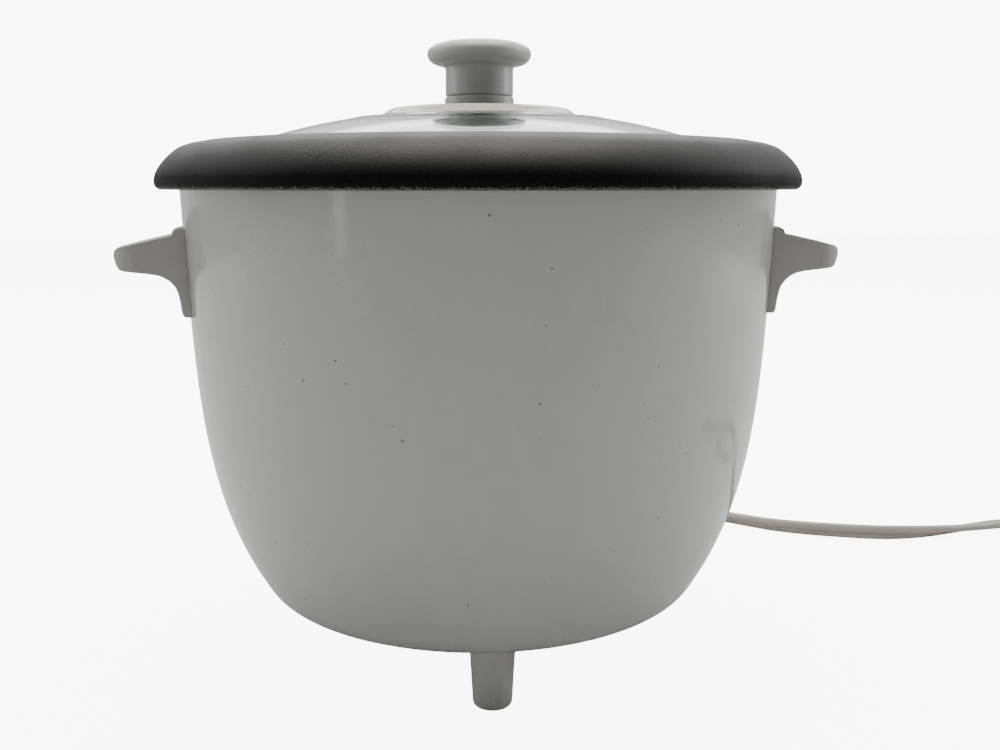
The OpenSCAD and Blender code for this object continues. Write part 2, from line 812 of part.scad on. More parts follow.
module magnet_rod() {
    color([0.75, 0.75, 0.76]) {
        translate([0, 0, rocker_low - 4])
            cylinder(r = rod_r, h = magnet_low + magnet_t - rocker_low + 4);
        translate([0, 0, rod_collar_top - rod_collar_t])
            cylinder(r = collar_r, h = rod_collar_t);
    }
}

// A compression spring as closely drawn rings, one for each turn
module spring(r, wire, low, high, turns) {
    pitch = (high - low - wire) / turns;
    for (i = [0:turns])
        translate([0, 0, low + wire / 2 + i * pitch])
            rotate_extrude()
                translate([r, 0])
                    circle(r = wire / 2, $fn = 16);
    for (a = [0, 180])
        at_angle(a, r)
            translate([0, 0, low + wire / 2])
                cylinder(r = wire * 0.3, h = high - low - wire, $fn = 16);
}

module magnet_spring() {
    color([0.75, 0.75, 0.76])
        spring(6, 1, magnet_top + touch, ferrite_low - touch, 4);
}

module sensor_spring() {
    color([0.75, 0.75, 0.76])
        spring(sensor_r - 1.2, 1.2, housing_low + housing_t + touch, cap_low - touch, 4);
}

module sensor_cap() {
    color([0.8, 0.8, 0.81])
        difference() {
            translate([0, 0, cap_low])
                cylinder(r = sensor_r, h = cap_len);
            translate([0, 0, cap_low - 1])
                cylinder(r = sensor_r - cap_wall, h = cap_len - cap_t + 1);
        }
}

module ferrite() {
    color([0.22, 0.22, 0.23])
        translate([0, 0, ferrite_low])
            cylinder(r = sensor_r - cap_wall - 1, h = ferrite_t - touch);
}

module inner_pot() {
    color([0.13, 0.13, 0.13])
        rotate_extrude()
            polygon(sheet(pot_path, pot_t));
}

module lid_glass() {
    dome_steps = 12;
    path = concat([[glass_hole_r, crown_z], [crown_r - 2, crown_z], [crown_r, crown_z - 0.6],
        [dome_start - 1, crown_z - crown_step + 0.4]],
        [for (i = [0:dome_steps]) let (r = dome_start + (lid_r - dome_start) * i / dome_steps) [r, dome_z(r)]]);
    color([0.8, 0.88, 0.85, 0.5])
        difference() {
            rotate_extrude()
                polygon(sheet(path, glass_t));
            translate([0, -62, glass_low - 20])
                cylinder(r = vent_r, h = 40);
        }
}

module knob_gasket() {
    color([0.3, 0.3, 0.3])
        translate([0, 0, glass_top])
            difference() {
                cylinder(r = stem_r - 1, h = gasket_t);
                translate([0, 0, -1])
                    cylinder(r = glass_hole_r, h = gasket_t + 2);
            }
}

module knob_collar() {
    color([0.8, 0.81, 0.8])
        translate([0, 0, collar_low])
            difference() {
                cylinder(r = stem_r + 0.2, h = collar_t);
                translate([0, 0, -1])
                    cylinder(r = lid_screw_r + touch, h = collar_t + 2);
            }
}

module lid_knob() {
    brim = knob_top - knob_disc_t;
    color([0.8, 0.81, 0.8])
        difference() {
            rotate_extrude()
                polygon([[0, knob_low], [stem_r, knob_low], [stem_r, brim], [stem_r + 3, brim + 0.2],
                    [knob_r - 2.6, brim + 1.3], [knob_r - 0.6, brim + 3], [knob_r, brim + 6], [knob_r - 0.4, brim + 7.6],
                    [knob_r - 1.6, brim + 9.2], [knob_r - 4.4, brim + 10.6], [knob_r - 10, knob_top], [0, knob_top]]);
            translate([0, 0, knob_low - 1])
                cylinder(r = lid_screw_r + touch, h = lid_screw_up + 2);
        }
}

module knob_plate() {
    color([0.7, 0.72, 0.71])
        difference() {
            union() {
                translate([0, 0, under_low])
                    cylinder(r = knob_r - 1.8, h = under_disc_t);
                translate([0, 0, under_low])
                    cylinder(r = stem_r - 0.3, h = under_hub + under_disc_t);
            }
            translate([0, 0, under_low - 1])
                cylinder(r = lid_screw_r + touch, h = under_hub + 5);
        }
}

module knob_screw() {
    color([0.75, 0.75, 0.76])
        translate([0, 0, under_low - touch])
            screw(lid_screw_r, knob_low + lid_screw_up - under_low, 4.4, 2);
}

module along_exit() {
    rotate([0, 0, -90 - exit_turn])
        translate([exit_r, 0, exit_z])
            rotate([0, 90, 0])
                children();
}

module strain_relief() {
    neck = cord_w / 2 + 2;
    color([0.83, 0.83, 0.81])
        difference() {
            union() {
                along_exit()
                    translate([0, 0, -5])
                        cylinder(r = neck, h = 9);
                difference() {
                    along_exit()
                        union() {
                            cylinder(r = neck + 2, h = 6);
                            translate([0, 0, 5])
                                cylinder(r1 = neck + 0.2, r2 = neck - 1.2, h = relief_len - 5);
                        }
                    body_solid(touch);
                }
                intersection() {
                    along_exit()
                        translate([0, 0, -6])
                            cylinder(r = neck + 2, h = 5);
                    body_solid(-shell_t - touch);
                }
            }
            along_exit()
                translate([0, 0, -9])
                    cylinder(r = cord_w / 2 - 0.4, h = 6);
        }
}

module power_cord() {
    color([0.88, 0.87, 0.83])
        oval_tube(cord_route, cord_w, cord_t);
}

module cord_coil() {
    color([0.88, 0.87, 0.83])
        translate([coil_mid[0], coil_mid[1], 0])
            rotate_extrude()
                translate([coil_r - coil_half, coil_low])
                    polygon([[3, 0], [2 * coil_half - 3, 0], [2 * coil_half, 2.5], [2 * coil_half, coil_tall - 2.5],
                        [2 * coil_half - 3, coil_tall], [3, coil_tall], [0, coil_tall - 2.5], [0, 2.5]]);
}

module cord_tie() {
    tie_w = 4;
    tie_t = 0.7;
    color([0.15, 0.15, 0.16])
        translate([coil_mid[0], coil_mid[1] + coil_r, 0])
            difference() {
                translate([-tie_w / 2, -coil_half - 1, coil_low - tie_t - 0.1])
                    cube([tie_w, 2 * coil_half + 2, coil_tall + 2 * tie_t + 0.2]);
                translate([-tie_w, -coil_half - 0.3, coil_low - 0.1])
                    cube([2 * tie_w, 2 * coil_half + 0.6, coil_tall + 0.2]);
            }
}

module cord_tail() {
    color([0.88, 0.87, 0.83])
        oval_tube([[tail_x, tail_start, cord_z], [tail_x, tail_end - 18, cord_z + 0.6],
            [tail_x, tail_end - 8, cord_z + 3], [tail_x, tail_end, plug_t / 2 + 0.1]], cord_w, cord_t);
}

module plug_body() {
    grip = 22;
    color([0.88, 0.87, 0.83])
        translate([tail_x, tail_end + touch, plug_t / 2 + 0.1])
            rotate([-90, 0, 0])
                difference() {
                    union() {
                        cylinder(r1 = cord_w / 2 + 0.5, r2 = cord_w / 2 + 1.8, h = plug_len - grip + 2, $fn = 48);
                        translate([-plug_w / 2, -plug_t / 2, plug_len - grip])
                            cube([plug_w, plug_t, grip]);
                    }
                    for (s = [-1, 1])
                        translate([s * blade_gap / 2 - 0.75 - touch, -3.15 - touch, plug_len - 8])
                            cube([1.5 + 2 * touch, 6.3 + 2 * touch, 20]);
                }
}

module plug_blades() {
    color([0.8, 0.72, 0.45])
        translate([tail_x, tail_end + touch, plug_t / 2 + 0.1])
            rotate([-90, 0, 0])
                for (s = [-1, 1])
                    translate([s * blade_gap / 2 - 0.75, -3.15, plug_len - 8 + touch])
                        difference() {
                            cube([1.5, 6.3, 8 + blade_len]);
                            translate([-1, 3.15, 4 + blade_len])
                                rotate([0, 90, 0])
                                    cylinder(r = 1.5, h = 4, $fn = 24);
                        }
}

outer_shell();
inner_liner();
base_plate();
base_screws();
foot(foot_angles[0]);  // foot_rear
foot(foot_angles[2]);  // foot_front_left
foot(foot_angles[1]);  // foot_front_right
foot_screws();
handle(1);  // handle_left
handle(-1);  // handle_right
handle_screws();
heater_plate();
heater_element();
heater_legs();
heater_screws();
thermostat_housing();
keep_warm_band();
thermal_fuse();
fuse_clip();
terminal_block();
lead_wires();
control_panel();
panel_screws();
lens_cook();
lens_warm();
neon_lamps();
pivot_bracket();
pivot_pin();
switch_body();
switch_plunger();
rocker();
lever_key();
magnet();
magnet_rod();
magnet_spring();
sensor_cap();
ferrite();
sensor_spring();
inner_pot();
lid_glass();
knob_gasket();
knob_collar();
lid_knob();
knob_plate();
knob_screw();
strain_relief();
power_cord();
cord_coil();
cord_tie();
cord_tail();
plug_body();
plug_blades();
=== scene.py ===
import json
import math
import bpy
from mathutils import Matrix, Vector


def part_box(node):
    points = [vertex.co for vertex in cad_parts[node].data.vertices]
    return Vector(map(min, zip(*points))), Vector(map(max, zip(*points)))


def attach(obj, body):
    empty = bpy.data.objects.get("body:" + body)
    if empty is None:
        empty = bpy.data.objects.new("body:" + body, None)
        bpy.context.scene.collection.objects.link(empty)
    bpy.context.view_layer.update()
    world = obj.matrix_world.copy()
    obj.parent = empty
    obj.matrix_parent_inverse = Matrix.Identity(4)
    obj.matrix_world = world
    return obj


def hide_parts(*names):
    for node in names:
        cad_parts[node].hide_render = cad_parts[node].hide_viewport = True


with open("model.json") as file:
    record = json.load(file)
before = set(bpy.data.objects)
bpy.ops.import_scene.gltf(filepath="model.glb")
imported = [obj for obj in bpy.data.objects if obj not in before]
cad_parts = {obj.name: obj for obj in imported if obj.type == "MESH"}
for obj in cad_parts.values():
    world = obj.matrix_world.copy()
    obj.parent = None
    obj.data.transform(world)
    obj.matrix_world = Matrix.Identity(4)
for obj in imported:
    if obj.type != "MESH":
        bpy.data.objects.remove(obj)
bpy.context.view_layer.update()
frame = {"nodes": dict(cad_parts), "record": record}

# %% [markdown]
# # A drum rice cooker
# The cooker is a stack of turned shapes: a painted steel bowl, a pot with a wide rolled flange, a glass lid
# and a mushroom knob. Almost every piece is round, so most of the modelling is a line that is drawn beside
# the middle axis and spun round it. The CAD model says where each piece goes, and this file gives the
# pieces that show their real shape, with soft edges, and gives every piece its finish.

MM = 0.001


def low(node):
    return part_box(node)[0] / MM


def high(node):
    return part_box(node)[1] / MM


def middle(node):
    """The middle of a CAD node's box, in millimetres."""
    return (low(node) + high(node)) / 2


def deselect():
    """Leave edit mode and select nothing, so that the next operator acts on its own piece only."""
    if bpy.context.object and bpy.context.object.mode != "OBJECT":
        bpy.ops.object.mode_set(mode="OBJECT")
    bpy.ops.object.select_all(action="DESELECT")


def pick(piece):
    deselect()
    piece.select_set(True)
    bpy.context.view_layer.objects.active = piece


def open_edit(piece, action="SELECT"):
    """Open a piece in edit mode, with all of it selected, or with action="DESELECT" none of it."""
    pick(piece)
    bpy.ops.object.mode_set(mode="EDIT")
    bpy.ops.mesh.select_all(action=action)


def close_edit():
    bpy.ops.object.mode_set(mode="OBJECT")


deselect()

# %% [markdown]
# ## Camera
# The camera stands behind the cooker, on the side away from the lever, a little above the table and looking
# slightly down. Distance sets how strongly the rim bulges towards us, so it is chosen first and the lens
# follows from it. The camera is turned, and not shifted, to put the cooker a little left of the middle.

# %% Camera
eye_distance = 0.448
eye_height = 0.187
eye_turn = math.radians(3.0)
look_aside = math.radians(1.06)
look_down = math.radians(9.94)
lens_data = bpy.data.cameras.new("camera")
lens_data.lens = 38.92
camera = bpy.data.objects.new("camera", lens_data)
bpy.context.collection.objects.link(camera)
camera.location = (eye_distance * math.sin(eye_turn), eye_distance * math.cos(eye_turn), eye_height)
camera.rotation_euler = (math.pi / 2 - look_down, 0, math.pi - eye_turn - look_aside)
bpy.context.scene.camera = camera
print("camera at", [round(v, 3) for v in camera.location], "lens", lens_data.lens, "mm")

# %% [markdown]
# ## Lines and turned pieces
# A turned piece needs only half of its outline. A line is a list of points (distance from the axis, height)
# in millimetres. Corners are given with the radius that rounds them, and free curves are run smoothly
# through a few points, as a flexible ruler would.

# %% Line helpers
def arc(x, z, r, start, end, steps):
    """Points on a circle, from one angle to another in degrees."""
    angles = [math.radians(start + (end - start) * i / steps) for i in range(steps + 1)]
    return [(x + r * math.cos(a), z + r * math.sin(a)) for a in angles]


def rounded(corners, steps=5):
    """A line through corners (x, z, radius), each rounded by its radius."""
    line = []
    for i, (x, z, r) in enumerate(corners):
        if not r or i in (0, len(corners) - 1):
            line.append((x, z))
            continue
        here = Vector((x, z))
        back = (Vector(corners[i - 1][:2]) - here).normalized()
        on = (Vector(corners[i + 1][:2]) - here).normalized()
        half = back.angle(on) / 2
        mid = here + (back + on).normalized() * r / math.sin(half)
        first, last = here + back * r / math.tan(half) - mid, here + on * r / math.tan(half) - mid
        turn = first.angle_signed(last)
        for k in range(steps + 1):
            a = -turn * k / steps
            c, s = math.cos(a), math.sin(a)
            line.append((mid.x + first.x * c - first.y * s, mid.y + first.x * s + first.y * c))
    return line


def smooth_through(points, steps=6):
    """A flexible-ruler curve through points of any dimension."""
    pts = [Vector(p) for p in points]
    pts = [2 * pts[0] - pts[1]] + pts + [2 * pts[-1] - pts[-2]]
    curve = []
    for a, b, c, d in zip(pts, pts[1:], pts[2:], pts[3:]):
        for k in range(steps):
            t = k / steps
            curve.append(0.5 * (2 * b + (c - a) * t + (2 * a - 5 * b + 4 * c - d) * t * t
                                + (3 * b - a - 3 * c + d) * t ** 3))
    return [tuple(v) for v in curve + [pts[-2]]]


print("a quarter turn", [tuple(round(v, 1) for v in p) for p in arc(0, 0, 10, 0, 90, 2)])

# %% [markdown]
# The spin is done as by hand. A plane is merged to one vertex, the vertex is extruded from point to point,
# and the line is spun about the vertical axis. The seam and the pole then hold doubled vertices, so they
# are merged, and the normals are recalculated, because spin can turn a shape inside out.

# %% Turned pieces
def drawn_line(name, line):
    """One vertex, extruded along a line in the XZ plane, left in edit mode with all of it selected."""
    deselect()
    bpy.ops.mesh.primitive_plane_add(size=0.01)
    piece = bpy.context.object
    piece.name = piece.data.name = name
    bpy.ops.object.mode_set(mode="EDIT")
    bpy.ops.mesh.select_mode(type="VERT")
    bpy.ops.mesh.merge(type="CENTER")
    x, z = line[0]
    bpy.ops.transform.translate(value=(x * MM, 0, z * MM))
    for nx, nz in line[1:]:
        step = ((nx - x) * MM, 0, (nz - z) * MM)
        bpy.ops.mesh.extrude_region_move(TRANSFORM_OT_translate={"value": step})
        x, z = nx, nz
    bpy.ops.mesh.select_all(action="SELECT")
    return piece


def tidy_mesh(piece, gap=0.004):
    """Merge doubled vertices and turn every face outwards."""
    open_edit(piece)
    bpy.ops.mesh.remove_doubles(threshold=gap * MM)
    bpy.ops.mesh.normals_make_consistent(inside=False)
    close_edit()


def turned(name, line, steps=96, angle=360, start=0):
    """A line spun about the Z axis, all the way round or through part of a turn."""
    piece = drawn_line(name, line)
    if start:
        bpy.ops.transform.rotate(value=-math.radians(start), orient_axis="Z", center_override=(0, 0, 0))
    bpy.ops.mesh.spin(steps=steps, angle=-math.radians(angle), center=(0, 0, 0), axis=(0, 0, 1))
    tidy_mesh(piece)
    return piece


def modify(piece, kind, **values):
    """Add a modifier, set it and apply it."""
    pick(piece)
    mod = piece.modifiers.new(kind.title(), kind)
    for key, value in values.items():
        setattr(mod, key, value)
    bpy.ops.object.modifier_apply(modifier=mod.name)


def soften(piece, width, segments=3, angle=35):
    """Round the sharp edges, as a mould or a press leaves them."""
    modify(piece, "BEVEL", width=width * MM, segments=segments, limit_method="ANGLE",
           angle_limit=math.radians(angle), harden_normals=False, use_clamp_overlap=True)


def smooth(piece, angle=40):
    pick(piece)
    bpy.ops.object.shade_smooth_by_angle(angle=math.radians(angle))


def cut(piece, tool, how="DIFFERENCE", keep=False):
    """Cut with another solid, and remove it."""
    modify(piece, "BOOLEAN", object=tool, operation=how, solver="EXACT")
    if not keep:
        bpy.data.objects.remove(tool)


def move(piece, x=0, y=0, z=0, turn=0, axis="Z"):
    """Turn a piece about the origin and then move it, in millimetres, leaving its object at the origin."""
    open_edit(piece)
    if turn:
        bpy.ops.transform.rotate(value=-math.radians(turn), orient_axis=axis, center_override=(0, 0, 0))
    bpy.ops.transform.translate(value=(x * MM, y * MM, z * MM))
    close_edit()


def copied(piece, name):
    """A copy with a mesh of its own."""
    pick(piece)
    bpy.ops.object.duplicate(linked=False)
    twin = bpy.context.object
    twin.name = twin.data.name = name
    return twin


def brick(name, lo, hi):
    """A block between two corners in millimetres, to be shaped further or used as a cutter."""
    deselect()
    bpy.ops.mesh.primitive_cube_add(size=1)
    piece = bpy.context.object
    piece.name = piece.data.name = name
    open_edit(piece)
    bpy.ops.transform.resize(value=tuple((h - l) * MM for l, h in zip(lo, hi)))
    bpy.ops.transform.translate(value=tuple((h + l) / 2 * MM for l, h in zip(lo, hi)))
    close_edit()
    return piece


def select_edges(piece, test):
    """Select in edit mode the edges whose middle and direction pass a test."""
    pick(piece)
    bpy.ops.object.mode_set(mode="EDIT")
    bpy.ops.mesh.select_mode(type="EDGE")
    bpy.ops.mesh.select_all(action="DESELECT")
    bpy.ops.object.mode_set(mode="OBJECT")
    verts = piece.data.vertices
    count = 0
    for edge in piece.data.edges:
        a, b = (verts[i].co / MM for i in edge.vertices)
        edge.select = bool(test((a + b) / 2, (b - a).normalized()))
        count += edge.select
    bpy.ops.object.mode_set(mode="EDIT")
    return count


def round_corners(block, radius, test):
    """Round the edges of a block that pass a test, and say how many there are."""
    count = select_edges(block, test)
    bpy.ops.mesh.bevel(offset=radius * MM, segments=8, affect="EDGES")
    close_edit()
    return count


def cap_ends(piece):
    """Close the two open ends of a shape that is spun through part of a turn."""
    open_edit(piece, "DESELECT")
    bpy.ops.mesh.select_mode(type="EDGE")
    bpy.ops.mesh.select_non_manifold(extend=False)
    bpy.ops.mesh.edge_face_add()
    close_edit()
    tidy_mesh(piece)


print("tools ready")

# %% [markdown]
# ## Floor and light
# The cooker stands against a bright sweep of white paper, so its near side is in shade and its edges glow.
# The sky is white behind the cooker and dim behind the camera. The floor is plain matt white. What the
# camera sees of both is lifted a little more, through Light Path, so that they read as paper without
# flooding the cooker's underside with light.

# %% Floor and sky
def shade(owner):
    """An empty node tree with its output, for a material or the world."""
    owner.use_nodes = True
    owner.node_tree.nodes.clear()
    return owner.node_tree.nodes, owner.node_tree.links


floor_grey, floor_glow = 0.62, 9.0
sky_glow, sky_light, light_through_glass = 9.5, 0.75, 1.0

bpy.ops.mesh.primitive_plane_add(size=7)
floor = bpy.context.object
floor.name = "floor"
paper = bpy.data.materials.new("floor_paper")
nodes, links = shade(paper)
out = nodes.new("ShaderNodeOutputMaterial")
matt = nodes.new("ShaderNodeBsdfDiffuse")
matt.inputs["Color"].default_value = (floor_grey, floor_grey, floor_grey, 1)
glow = nodes.new("ShaderNodeEmission")
glow.inputs["Color"].default_value = (0.93, 0.94, 0.95, 1)
seen = nodes.new("ShaderNodeLightPath")
lift = nodes.new("ShaderNodeMath")
lift.operation = "MULTIPLY"
lift.inputs[1].default_value = floor_glow
both = nodes.new("ShaderNodeAddShader")
links.new(seen.outputs["Is Camera Ray"], lift.inputs[0])
links.new(lift.outputs[0], glow.inputs["Strength"])
links.new(matt.outputs[0], both.inputs[0])
links.new(glow.outputs[0], both.inputs[1])
links.new(both.outputs[0], out.inputs["Surface"])
floor.data.materials.append(paper)

world = bpy.data.worlds.new("sky")
bpy.context.scene.world = world
nodes, links = shade(world)
out = nodes.new("ShaderNodeOutputWorld")
facing = nodes.new("ShaderNodeTexCoord")
split = nodes.new("ShaderNodeSeparateXYZ")
dim = nodes.new("ShaderNodeValToRGB")
dim.color_ramp.elements[0].position = 0.15
dim.color_ramp.elements[0].color = (1.0, 1.0, 1.0, 1)
dim.color_ramp.elements[1].position = 0.78
dim.color_ramp.elements[1].color = (0.10, 0.103, 0.103, 1)
halve = nodes.new("ShaderNodeMapRange")
halve.inputs["From Min"].default_value = -1
light = nodes.new("ShaderNodeBackground")
white = nodes.new("ShaderNodeBackground")
white.inputs["Color"].default_value = (0.97, 0.98, 1.0, 1)
white.inputs["Strength"].default_value = sky_glow
seen = nodes.new("ShaderNodeLightPath")
choose = nodes.new("ShaderNodeMixShader")
through = nodes.new("ShaderNodeMath")
through.operation = "MULTIPLY_ADD"
through.inputs[1].default_value = light_through_glass
through.inputs[2].default_value = sky_light
links.new(seen.outputs["Is Transmission Ray"], through.inputs[0])
links.new(through.outputs[0], light.inputs["Strength"])
links.new(facing.outputs["Generated"], split.inputs[0])
links.new(split.outputs["Y"], halve.inputs["Value"])
links.new(halve.outputs["Result"], dim.inputs["Fac"])
links.new(dim.outputs["Color"], light.inputs["Color"])
links.new(seen.outputs["Is Camera Ray"], choose.inputs["Fac"])
links.new(light.outputs[0], choose.inputs[1])
links.new(white.outputs[0], choose.inputs[2])
links.new(choose.outputs[0], out.inputs["Surface"])
print("floor and sky made")

# %% [markdown]
# Large soft lights do the rest: a broad one above and behind for the sheen along the rim and the lid, one
# on each side for the pale edges of the bowl, a weak one near the camera so that its side isn't dead, and a
# thin upright one that leaves a streak in the enamel.

# %% Soft lights
def soft_light(name, place, size, power, tint=(1, 1, 1)):
    data = bpy.data.lights.new(name, "AREA")
    data.shape = "RECTANGLE"
    data.size, data.size_y = size
    data.energy = power
    data.color = tint
    lamp = bpy.data.objects.new(name, data)
    bpy.context.collection.objects.link(lamp)
    lamp.location = place
    lamp.rotation_euler = (Vector((0, 0, 0.12)) - Vector(place)).to_track_quat("-Z", "Y").to_euler()
    return lamp


soft_light("back_light", (0, -1.5, 1.3), (2.2, 0.9), 22)
soft_light("top_light", (0.0, -0.1, 1.4), (1.1, 0.7), 17, (1.0, 0.97, 0.92))
soft_light("left_light", (1.5, -0.3, 0.7), (0.5, 1.1), 5.8)
soft_light("right_light", (-1.5, -0.3, 0.7), (0.5, 1.1), 10.5)
soft_light("near_light", (0.7, 1.6, 0.9), (0.35, 1.2), 1.2, (1.0, 0.97, 0.94))
soft_light("streak_light", (0.94, 0.76, 0.38), (0.09, 0.75), 0.22)
print("lights made")

# %% [markdown]
# ## Finishes
# Every finish starts from the same few accidents: broad blotches where the surface took more or less
# polish, a fine grain, and tiny specks. They are built once, as a node group, and each material sets its
# own amounts. Patterns read Object coordinates, and every piece's object sits at the origin, so they never
# slide.

# %% Shared surface group
def surface_group():
    """Colour, roughness and height that vary over a surface: blotches, grain and specks."""
    group = bpy.data.node_groups.new("surface_life", "ShaderNodeTree")
    face = group.interface
    wanted = [("Colour", "NodeSocketColor", (0.8, 0.8, 0.8, 1)),
              ("Second colour", "NodeSocketColor", (0.7, 0.7, 0.7, 1)),
              ("Speck colour", "NodeSocketColor", (0.1, 0.1, 0.1, 1)),
              ("Blotch scale", "NodeSocketFloat", 30.0),
              ("Grain scale", "NodeSocketFloat", 900.0), ("Speck scale", "NodeSocketFloat", 250.0),
              ("Speck amount", "NodeSocketFloat", 0.1), ("Roughness", "NodeSocketFloat", 0.4),
              ("Roughness spread", "NodeSocketFloat", 0.1)]
    for name, kind, value in wanted:
        face.new_socket(name, in_out="INPUT", socket_type=kind).default_value = value
    for name, kind in (("Colour", "NodeSocketColor"), ("Roughness", "NodeSocketFloat"),
                       ("Height", "NodeSocketFloat"), ("Specks", "NodeSocketFloat")):
        face.new_socket(name, in_out="OUTPUT", socket_type=kind)
    new, link = group.nodes.new, group.links.new
    given, result = new("NodeGroupInput"), new("NodeGroupOutput")
    place = new("ShaderNodeTexCoord")

    def noise(scale, detail):
        tex = new("ShaderNodeTexNoise")
        tex.inputs["Detail"].default_value = detail
        link(place.outputs["Object"], tex.inputs["Vector"])
        link(given.outputs[scale], tex.inputs["Scale"])
        return tex.outputs["Fac"]

    def maths(kind, a, b):
        node = new("ShaderNodeMath")
        node.operation = kind
        for socket, value in zip(node.inputs, (a, b)):
            if isinstance(value, (int, float)):
                socket.default_value = value
            else:
                link(value, socket)
        return node.outputs[0]

    def mixed(amount, a, b):
        node = new("ShaderNodeMix")
        node.data_type = "RGBA"
        link(amount, node.inputs[0])
        link(a, node.inputs[6])
        link(b, node.inputs[7])
        return node.outputs[2]

    blotch, grain = noise("Blotch scale", 4), noise("Grain scale", 2)
    cells = new("ShaderNodeTexVoronoi")
    link(place.outputs["Object"], cells.inputs["Vector"])
    link(given.outputs["Speck scale"], cells.inputs["Scale"])
    chance = new("ShaderNodeSeparateColor")
    link(cells.outputs["Color"], chance.inputs[0])
    lucky = maths("LESS_THAN", chance.outputs[0], given.outputs["Speck amount"])
    size = maths("MULTIPLY", chance.outputs[1], 0.3)
    specks = maths("MULTIPLY", lucky, maths("LESS_THAN", cells.outputs["Distance"], size))
    base = mixed(blotch, given.outputs["Colour"], given.outputs["Second colour"])
    link(mixed(specks, base, given.outputs["Speck colour"]), result.inputs["Colour"])
    uneven = maths("ADD", maths("MULTIPLY", blotch, 1.4), maths("MULTIPLY", grain, 0.6))
    swing = maths("SUBTRACT", uneven, 1.0)
    swing = maths("MULTIPLY", swing, given.outputs["Roughness spread"])
    rough = maths("ADD", given.outputs["Roughness"], swing)
    link(rough, result.inputs["Roughness"])
    link(maths("ADD", grain, maths("MULTIPLY", blotch, 2.0)), result.inputs["Height"])
    link(specks, result.inputs["Specks"])
    return group


surface_life = surface_group()
sockets = surface_life.interface.items_tree
print("group", surface_life.name, "outputs", [s.name for s in sockets if s.in_out == "OUTPUT"])

# %% [markdown]
# A finish is a Principled shader with that group in front of it. Numbers that are the same all over, such
# as the coat or the index of refraction, are set on the shader itself.

# %% Making a finish
FINISH = {}


def finish(slot, colour, second, rough=0.4, spread=0.1, metal=0.0, bump=0.1, depth=0.05, blotch=30.0,
           grain=900.0, speck=(0.1, 0.1, 0.1), speck_scale=250.0, speck_amount=0.0, **shader):
    """A material for one slot of the record. The bump's depth is in millimetres."""
    mat = bpy.data.materials.new(slot)
    nodes, links = shade(mat)
    out = nodes.new("ShaderNodeOutputMaterial")
    body = nodes.new("ShaderNodeBsdfPrincipled")
    life = nodes.new("ShaderNodeGroup")
    life.node_tree = surface_life
    for name, value in (("Colour", (*colour, 1)), ("Second colour", (*second, 1)),
                        ("Speck colour", (*speck, 1)), ("Blotch scale", blotch),
                        ("Grain scale", grain), ("Speck scale", speck_scale),
                        ("Speck amount", speck_amount), ("Roughness", rough), ("Roughness spread", spread)):
        life.inputs[name].default_value = value
    relief = nodes.new("ShaderNodeBump")
    relief.inputs["Strength"].default_value = bump
    relief.inputs["Distance"].default_value = depth * MM
    body.inputs["Metallic"].default_value = metal
    for name, value in shader.items():
        body.inputs[name.replace("_", " ")].default_value = value
    links.new(life.outputs["Colour"], body.inputs["Base Color"])
    links.new(life.outputs["Roughness"], body.inputs["Roughness"])
    links.new(life.outputs["Height"], relief.inputs["Height"])
    links.new(relief.outputs["Normal"], body.inputs["Normal"])
    links.new(body.outputs[0], out.inputs["Surface"])
    FINISH[slot] = mat
    return nodes, links


finish("zinc_sheet", (0.46, 0.47, 0.48), (0.36, 0.37, 0.38), rough=0.42, spread=0.22, metal=1.0, blotch=70,
       bump=0.2)
finish("bright_liner", (0.70, 0.71, 0.72), (0.60, 0.61, 0.62), rough=0.28, spread=0.14, metal=1.0, blotch=22)
finish("steel_screw", (0.52, 0.52, 0.53), (0.40, 0.40, 0.41), rough=0.35, spread=0.2, metal=1.0, blotch=260)
finish("cast_plate", (0.60, 0.60, 0.61), (0.47, 0.46, 0.45), rough=0.42, spread=0.18, metal=1.0, blotch=40,
       bump=0.3)
finish("dark_sheath", (0.10, 0.09, 0.085), (0.16, 0.13, 0.11), rough=0.5, spread=0.2, metal=0.8, blotch=120)
finish("mica_band", (0.55, 0.44, 0.26), (0.40, 0.31, 0.17), rough=0.35, spread=0.2, blotch=90,
       speck=(0.75, 0.68, 0.5), speck_scale=500, speck_amount=0.3)
finish("ceramic_white", (0.80, 0.78, 0.73), (0.72, 0.69, 0.63), rough=0.22, spread=0.1, blotch=80)
finish("red_wire", (0.42, 0.035, 0.025), (0.33, 0.02, 0.018), rough=0.5, spread=0.12, blotch=150)
finish("black_plastic", (0.016, 0.016, 0.017), (0.026, 0.026, 0.027), rough=0.38, spread=0.12, blotch=60,
       grain=1800, bump=0.25)
finish("dark_magnet", (0.045, 0.045, 0.048), (0.07, 0.068, 0.066), rough=0.55, spread=0.15, blotch=150,
       speck=(0.2, 0.2, 0.2), speck_scale=800, speck_amount=0.2)
finish("bright_cap", (0.72, 0.73, 0.74), (0.62, 0.62, 0.62), rough=0.24, spread=0.14, metal=1.0, blotch=90)
finish("grey_rubber", (0.10, 0.10, 0.10), (0.14, 0.14, 0.14), rough=0.7, spread=0.1, blotch=120)
finish("brass_blade", (0.62, 0.50, 0.28), (0.52, 0.42, 0.25), rough=0.3, spread=0.2, metal=1.0, blotch=160)
finish("lamp_glass", (0.9, 0.82, 0.74), (0.85, 0.75, 0.68), rough=0.1, spread=0.05, Transmission_Weight=0.8)
print(len(FINISH), "plain finishes")
